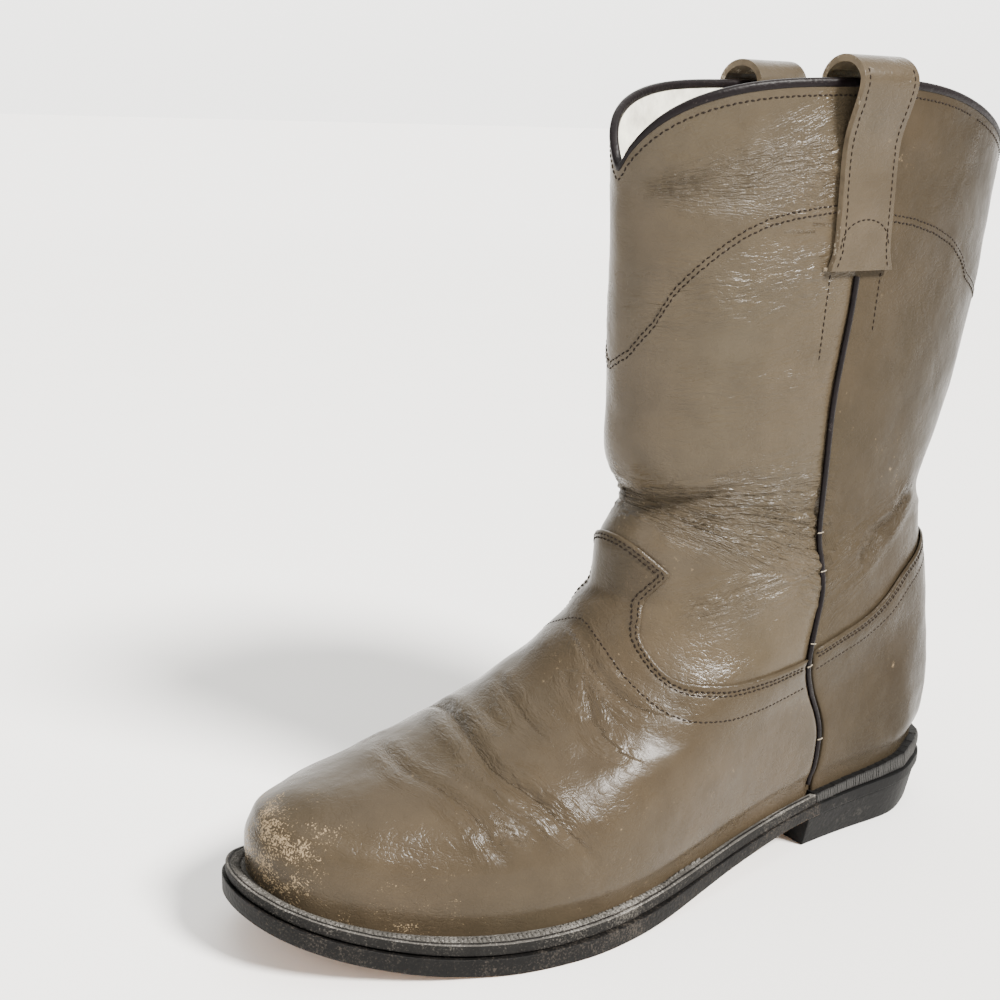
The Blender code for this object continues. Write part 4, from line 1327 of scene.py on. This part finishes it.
def makeStitches(name, sheet, field, levels, inside=None):
    # Rows of stitches at levels of a field. A layer's own field keeps them off its side edges.
    places = []
    for level in levels:
        for line in levelLines(sheet, sheet[field], level, closed=inside is None):
            places += spots(line, stitchPlan["pitch"])
    if inside:
        depth = inside(np.array([place for place, _, _ in places]))
        places = [spot for spot, value in zip(places, depth) if value > stitchPlan["fromSeam"]]
    beadRow(name, places, stitchPlan["size"], stitchPlan["lift"], materials["thread"], stitchPlan["tilt"])


vampRows = stitchPlan["edgeRows"] + (vampPlan["singleRow"],)
counterRows = stitchPlan["edgeRows"] + (counterPlan["singleRow"],)
makeStitches("vampStitches", vampSheet, "edge", vampRows, vampField)
makeStitches("counterStitches", counterSheet, "edge", counterRows, counterField)
makeStitches("collarStitches", shaftSheet, "below", [stitchPlan["collarRow"]])
makeStitches("archStitches", shaftSheet, "arch", stitchPlan["archRows"])
print("stitches made")


# Collar binding: leather folded over the rim of the wall

bindingPlan = {"height": 0.0024, "proud": 0.00045, "above": 0.0008, "strip": 0.02, "rows": 60}


def makeBinding():
    drop, proud, above, wall = bindingPlan["height"], bindingPlan["proud"], bindingPlan["above"], boot["wall"]
    rowValues = np.linspace(rowPlaces[-1] - bindingPlan["strip"], rowPlaces[-1], bindingPlan["rows"])
    points = surface(rowValues, denseColumns(0, boot["columns"], 8, 8))
    below = lengthDown(points)
    top, topNormal = points[-1], gridNormals(points, True)[-1]
    up = points[-1] - points[-4]
    up /= np.linalg.norm(up, axis=1, keepdims=True)

    def atDepth(depth):
        if depth <= 0:
            return top - up * depth
        return np.array([resample(points[:, k], -below[:, k], [-depth])[0] for k in range(points.shape[1])])

    # Depth below the rim and offset outward, round the section from the outer foot to the inner
    section = [
        (drop, -0.0001), (drop - 0.0001, proud * 0.55), (drop * 0.7, proud), (drop * 0.25, proud),
        (-above * 0.55, proud * 0.35), (-above, -wall / 2), (-above * 0.55, -wall - proud * 0.35),
        (drop * 0.25, -wall - proud), (drop * 0.7, -wall - proud), (drop - 0.0001, -wall - proud * 0.55),
        (drop, -wall + 0.0001),
    ]
    loops = [atDepth(depth) + topNormal * offset for depth, offset in section]
    piece = gridObject("binding", np.array(loops), closed=True)
    closeLoops(piece, bpy.ops.mesh.bridge_edge_loops)
    smoothModifier(piece, 1)
    smoothShade(piece, 60)
    finish(piece, "collarBinding", materials["binding"], ["collar_piping"])


makeBinding()
print("binding made")


# Side seams: a dark cord, with small pale bars across it at some heights

cordPlan = {
    "radius": 0.00105, "sunk": 0.0005, "low": 0.0245, "high": 0.2215,
    "bars": (0.128, 0.113, 0.0875, 0.0785, 0.045), "barSize": (0.0034, 0.0006, 0.0009), "barLift": 0.72,
}


def tube(name, points, radius, sides):
    curve = bpy.data.curves.new(name, "CURVE")
    curve.dimensions = "3D"
    curve.bevel_depth = radius
    curve.bevel_resolution = sides
    curve.use_fill_caps = True
    spline = curve.splines.new("POLY")
    spline.points.add(len(points) - 1)
    for target, point in zip(spline.points, points):
        target.co = (*point, 1.0)
    piece = bpy.data.objects.new(name, curve)
    bpy.context.scene.collection.objects.link(piece)
    activate(piece)
    bpy.ops.object.convert(target="MESH")
    return bpy.context.object


def makeCord(node, name, column):
    plan = cordPlan
    near = surface(np.linspace(0, rowPlaces[-1], 400), [column - 0.2, column, column + 0.2])
    normals = gridNormals(near, False)[:, 1]
    path = near[:, 1] + normals * plan["sunk"]
    shown = (path[:, 2] > plan["low"]) & (path[:, 2] < plan["high"])
    path, normals = path[shown], normals[shown]
    piece = tube(name, path[::3], plan["radius"], 3)
    smoothShade(piece, 60)
    finish(piece, name, materials["binding"], [node])
    bars = []
    for height in plan["bars"]:
        index = int(np.argmin(np.abs(path[:, 2] - height)))
        along = Vector(path[min(index + 3, len(path) - 1)] - path[index - 3]).normalized()
        outward = Vector(normals[index]).normalized()
        bars.append((Vector(path[index]), outward.cross(along), outward))
    lift = plan["radius"] * plan["barLift"]
    beadRow(name + "Bars", bars, plan["barSize"], lift, materials["paleThread"])


makeCord("side_piping_outer", "outerCord", boot["outerSeam"])
makeCord("side_piping_inner", "innerCord", boot["innerSeam"])
print("cords made")


# Pull straps, with a stitched arch near the foot and rows that go on below on the shaft

strapPlan = {
    "edge": 0.0006, "inset": 0.0019, "pitch": 0.0023, "size": (0.0016, 0.00060, 0.00046), "foot": 0.2225,
    "topGap": 0.004, "drops": {-1: 0.030, 1: 0.022}, "archFoot": 0.006, "lift": 0.00004, "rowLift": 0.00006,
    "footRadius": 0.0006, "farSide": 0.12,
}


def sideHit(tree, side, y, z):
    # The first place and normal met from the side at these coordinates
    away = Vector((side * strapPlan["farSide"], y, z))
    return tree.ray_cast(away, Vector((-side, 0, 0)))[:2]


def strapRows(tree, side, low, high):
    # The stitch lines near the front and back edges of a strap
    rows = {-1: [], 1: []}
    for height in np.linspace(strapPlan["foot"], high.z - strapPlan["topGap"], 60):
        hits = []
        for y in np.linspace(low.y - 0.002, high.y + 0.002, 90):
            place, normal = sideHit(tree, side, y, height)
            if place is not None and normal.x * side > 0.5:
                hits.append(place)
        if len(hits) < 8:
            continue
        for end, edge in ((-1, hits[0].y), (1, hits[-1].y)):
            rows[end].append(sideHit(tree, side, edge - end * strapPlan["inset"], height))
    return rows


def strapArch(tree, side, front, back):
    middle = (front + back) / 2
    half = (back - front).length / 2 - 0.0008
    arch = []
    for turn in np.linspace(0, 1, 24) * math.pi:
        y = middle.y - half * math.cos(turn)
        z = middle.z + strapPlan["archFoot"] + (half * 0.92) * math.sin(turn) ** 0.8
        place, normal = sideHit(tree, side, y, z)
        if place is not None:
            arch.append((place, normal))
    return arch


def makeStrap(node, name, side):
    plan = strapPlan
    piece = cadCopy(node, name)
    roundEdges(piece, plan["edge"])
    paintFaces(piece, ["strap", "edge"], lambda face: int(abs(face.normal.y) > 0.62 or face.normal.z < -0.75))
    smoothShade(piece, 60)
    finish(piece, name, None, [node])
    low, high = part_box(node)
    tree = meshTree(piece)
    rows = strapRows(tree, side, low, high)
    feet = {end: rows[end][0][0] for end in (-1, 1)}
    stitches = []
    for line in (rows[-1], rows[1], strapArch(tree, side, feet[-1], feet[1])):
        stitches += spots(lineOf(line), plan["pitch"])
    beadRow(name + "Stitches", stitches, plan["size"], plan["lift"], materials["thread"])
    shaftTree = meshTree(shaft)
    below = []
    for end, drop in plan["drops"].items():
        y, z = feet[end].yz
        found = [
            sideHit(shaftTree, side, y - 0.0012 * share, z - 0.002 - drop * share) for share in np.linspace(0, 1, 14)
        ]
        below += spots(lineOf(found), plan["pitch"])
    beadRow(name + "Rows", below, plan["size"], plan["rowLift"], materials["thread"])
    proud = Vector((side * 0.0002, 0, 0))
    across = np.linspace(low.y - 0.0012, high.y + 0.0012, 16)
    ridge = [sideHit(shaftTree, side, y, low.z + 0.0006)[0] + proud for y in across]
    foot = tube(name + "Foot", ridge, plan["footRadius"], 2)
    finish(foot, name + "Foot", materials["edge"])


makeStrap("pull_strap_outer", "outerStrap", 1)
makeStrap("pull_strap_inner", "innerStrap", -1)
print("straps made")


# Welt: a strip of stitches beside the upper and a thin ridge near the edge

weltPlan = {
    "pitch": 0.00155, "size": (0.0018, 0.0042, 0.0013), "lift": -0.0001, "tilt": 0.25,
    "strip": 0.0031, "ridge": 0.0008, "drop": 0.0003, "radius": 0.00055,
    "columns": (7.1, 30.9, 330), "search": (0.0022, 0.014, 0.0003), "above": 0.02, "levelTop": 0.8,
}


def featherLine(first, last, count, centre):
    # Points along the feather line and the level directions that point out of the boot there
    base = surface([0.0, 0.002], np.linspace(first, last, count))[0]
    along = np.gradient(base, axis=0)
    outward = np.stack([along[:, 1], -along[:, 0], along[:, 0] * 0], axis=1)
    outward /= np.linalg.norm(outward, axis=1, keepdims=True)
    return base, outward * np.sign((outward * (base - np.array(centre))).sum())


def dropOn(tree, place):
    return tree.ray_cast(place, Vector((0, 0, -1)), 0.05)[:2]


def weltEdge(tree, middle, away):
    # The outermost place on the welt's level top
    last = None
    for step in np.arange(*weltPlan["search"]):
        place, normal = dropOn(tree, middle + away * step + Vector((0, 0, weltPlan["above"])))
        if place is not None and normal.z >= weltPlan["levelTop"]:
            last = place
        elif last is not None:
            break
    return last


def makeWeltStitches():
    plan = weltPlan
    tree = meshTree(soleParts["welt"])
    path, ridge = [], []
    for middle, away in zip(*featherLine(*plan["columns"], (0.0, -0.11, 0.02))):
        away = Vector(away)
        edge = weltEdge(tree, Vector(middle), away)
        if edge is None:
            continue
        for inset, drop, kept in ((plan["strip"], 0.0, path), (plan["ridge"], plan["drop"], ridge)):
            spot = edge - away * inset
            place, normal = dropOn(tree, Vector((spot.x, spot.y, edge.z + 0.01)))
            if place is not None:
                kept.append((place - Vector((0, 0, drop)), normal))
    beads = spots(lineOf(path), plan["pitch"])
    beadRow("weltStrip", beads, plan["size"], plan["lift"], materials["weltStrip"], plan["tilt"])
    piece = tube("weltRidge", [place for place, _ in ridge][::2], plan["radius"], 1)
    smoothShade(piece, 60)
    finish(piece, "weltRidge", materials["welt"])


# Rand: a strip round the heel with fine upright ribs, over the CAD strip's outer face

ribPlan = {
    "pitch": 0.00105, "step": 0.00021, "depth": 0.00062, "wall": 0.0045, "levels": 7,
    "columns": (-6.95, 6.95, 400), "heights": (-0.006, 0.012, 0.00025), "from": 0.03, "reach": 0.045,
}


def randSections():
    tree = meshTree(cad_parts["heel_rand"])
    sections = []
    for middle, away in zip(*featherLine(*ribPlan["columns"], (0.0, -0.02, 0.0))):
        hits = []
        for height in np.arange(*ribPlan["heights"]):
            start = Vector(middle + away * ribPlan["from"]) + Vector((0, 0, height))
            place, normal = tree.ray_cast(start, -Vector(away), ribPlan["reach"])[:2]
            if place is not None and normal.dot(Vector(away)) > 0.5:
                hits.append(place)
        if len(hits) >= 3:
            found = np.array(hits)
            heights = np.linspace(found[0, 2], found[-1, 2], ribPlan["levels"])
            sections.append(np.append(resample(found, found[:, 2], heights), away))
    return np.array(sections)


def makeRand():
    plan = ribPlan
    sections = randSections()
    travelled = lengthsAlong(sections[:, :3])
    wanted = np.arange(0, travelled[-1], plan["step"])
    fine = resample(sections, travelled, wanted)
    outer, away = fine[:, :-3].reshape(len(wanted), -1, 3), fine[:, None, -3:]
    phase = wanted / plan["pitch"] + 0.15 * softNoise(wanted * 300, wanted * 0, 9)
    ridge = np.abs(np.sin(math.pi * phase)) ** 0.7
    tall = np.sin(np.linspace(0, math.pi, plan["levels"])) ** 0.4
    ragged = 1 + 0.35 * softNoise(np.floor(phase) * 3.7, phase * 0, 12)
    lift = plan["depth"] * (ridge * ragged)[:, None] * tall[None, :]
    front = outer + away * lift[:, :, None]
    back = outer[:, ::-1] - away * plan["wall"]
    crests = (ridge**2)[:, None] * tall[None, :]
    facts = {"rib": np.concatenate([crests, crests * 0], axis=1)}
    piece = gridObject("rand", np.concatenate([front, back], axis=1), facts, closed=True)
    closeLoops(piece, lambda: bpy.ops.mesh.fill_holes(sides=0))
    smoothShade(piece, 50)
    finish(piece, "ribbedRand", materials["rand"], ["heel_rand"])


makeWeltStitches()
makeRand()
print("welt and rand detailed")


# Floor: pale, and a little lighter far off

floorPlan = {
    "size": 160.0, "near": ((0.86, 0.855, 0.84), (0.90, 0.895, 0.88)), "far": (0.985, 0.985, 0.98),
    "roughness": 0.9, "specular": 0.1,
}


def makeFloor():
    plan = floorPlan
    material, tree, shader, place = newMaterial("paleFloor")
    away = vectorMaths(tree, "LENGTH", {0: place}, "Value")
    far = ramp(tree, maths(tree, "MULTIPLY", away, 0.25), ((0.1, 0.0), (0.9, 1.0)))
    first, second = plan["near"]
    near = mixColour(tree, noiseAt(tree, place, 6.0), colour(*first), colour(*second))
    tree.links.new(mixColour(tree, far, near, colour(*plan["far"])), shader["Base Color"])
    shader["Roughness"].default_value = plan["roughness"]
    shader["Specular IOR Level"].default_value = plan["specular"]
    bpy.ops.mesh.primitive_plane_add(size=plan["size"], location=(0, 0, 0))
    floor = bpy.context.object
    floor.name = "paleFloor"
    floor.data.materials.append(material)


makeFloor()
setCamera()
setLights()
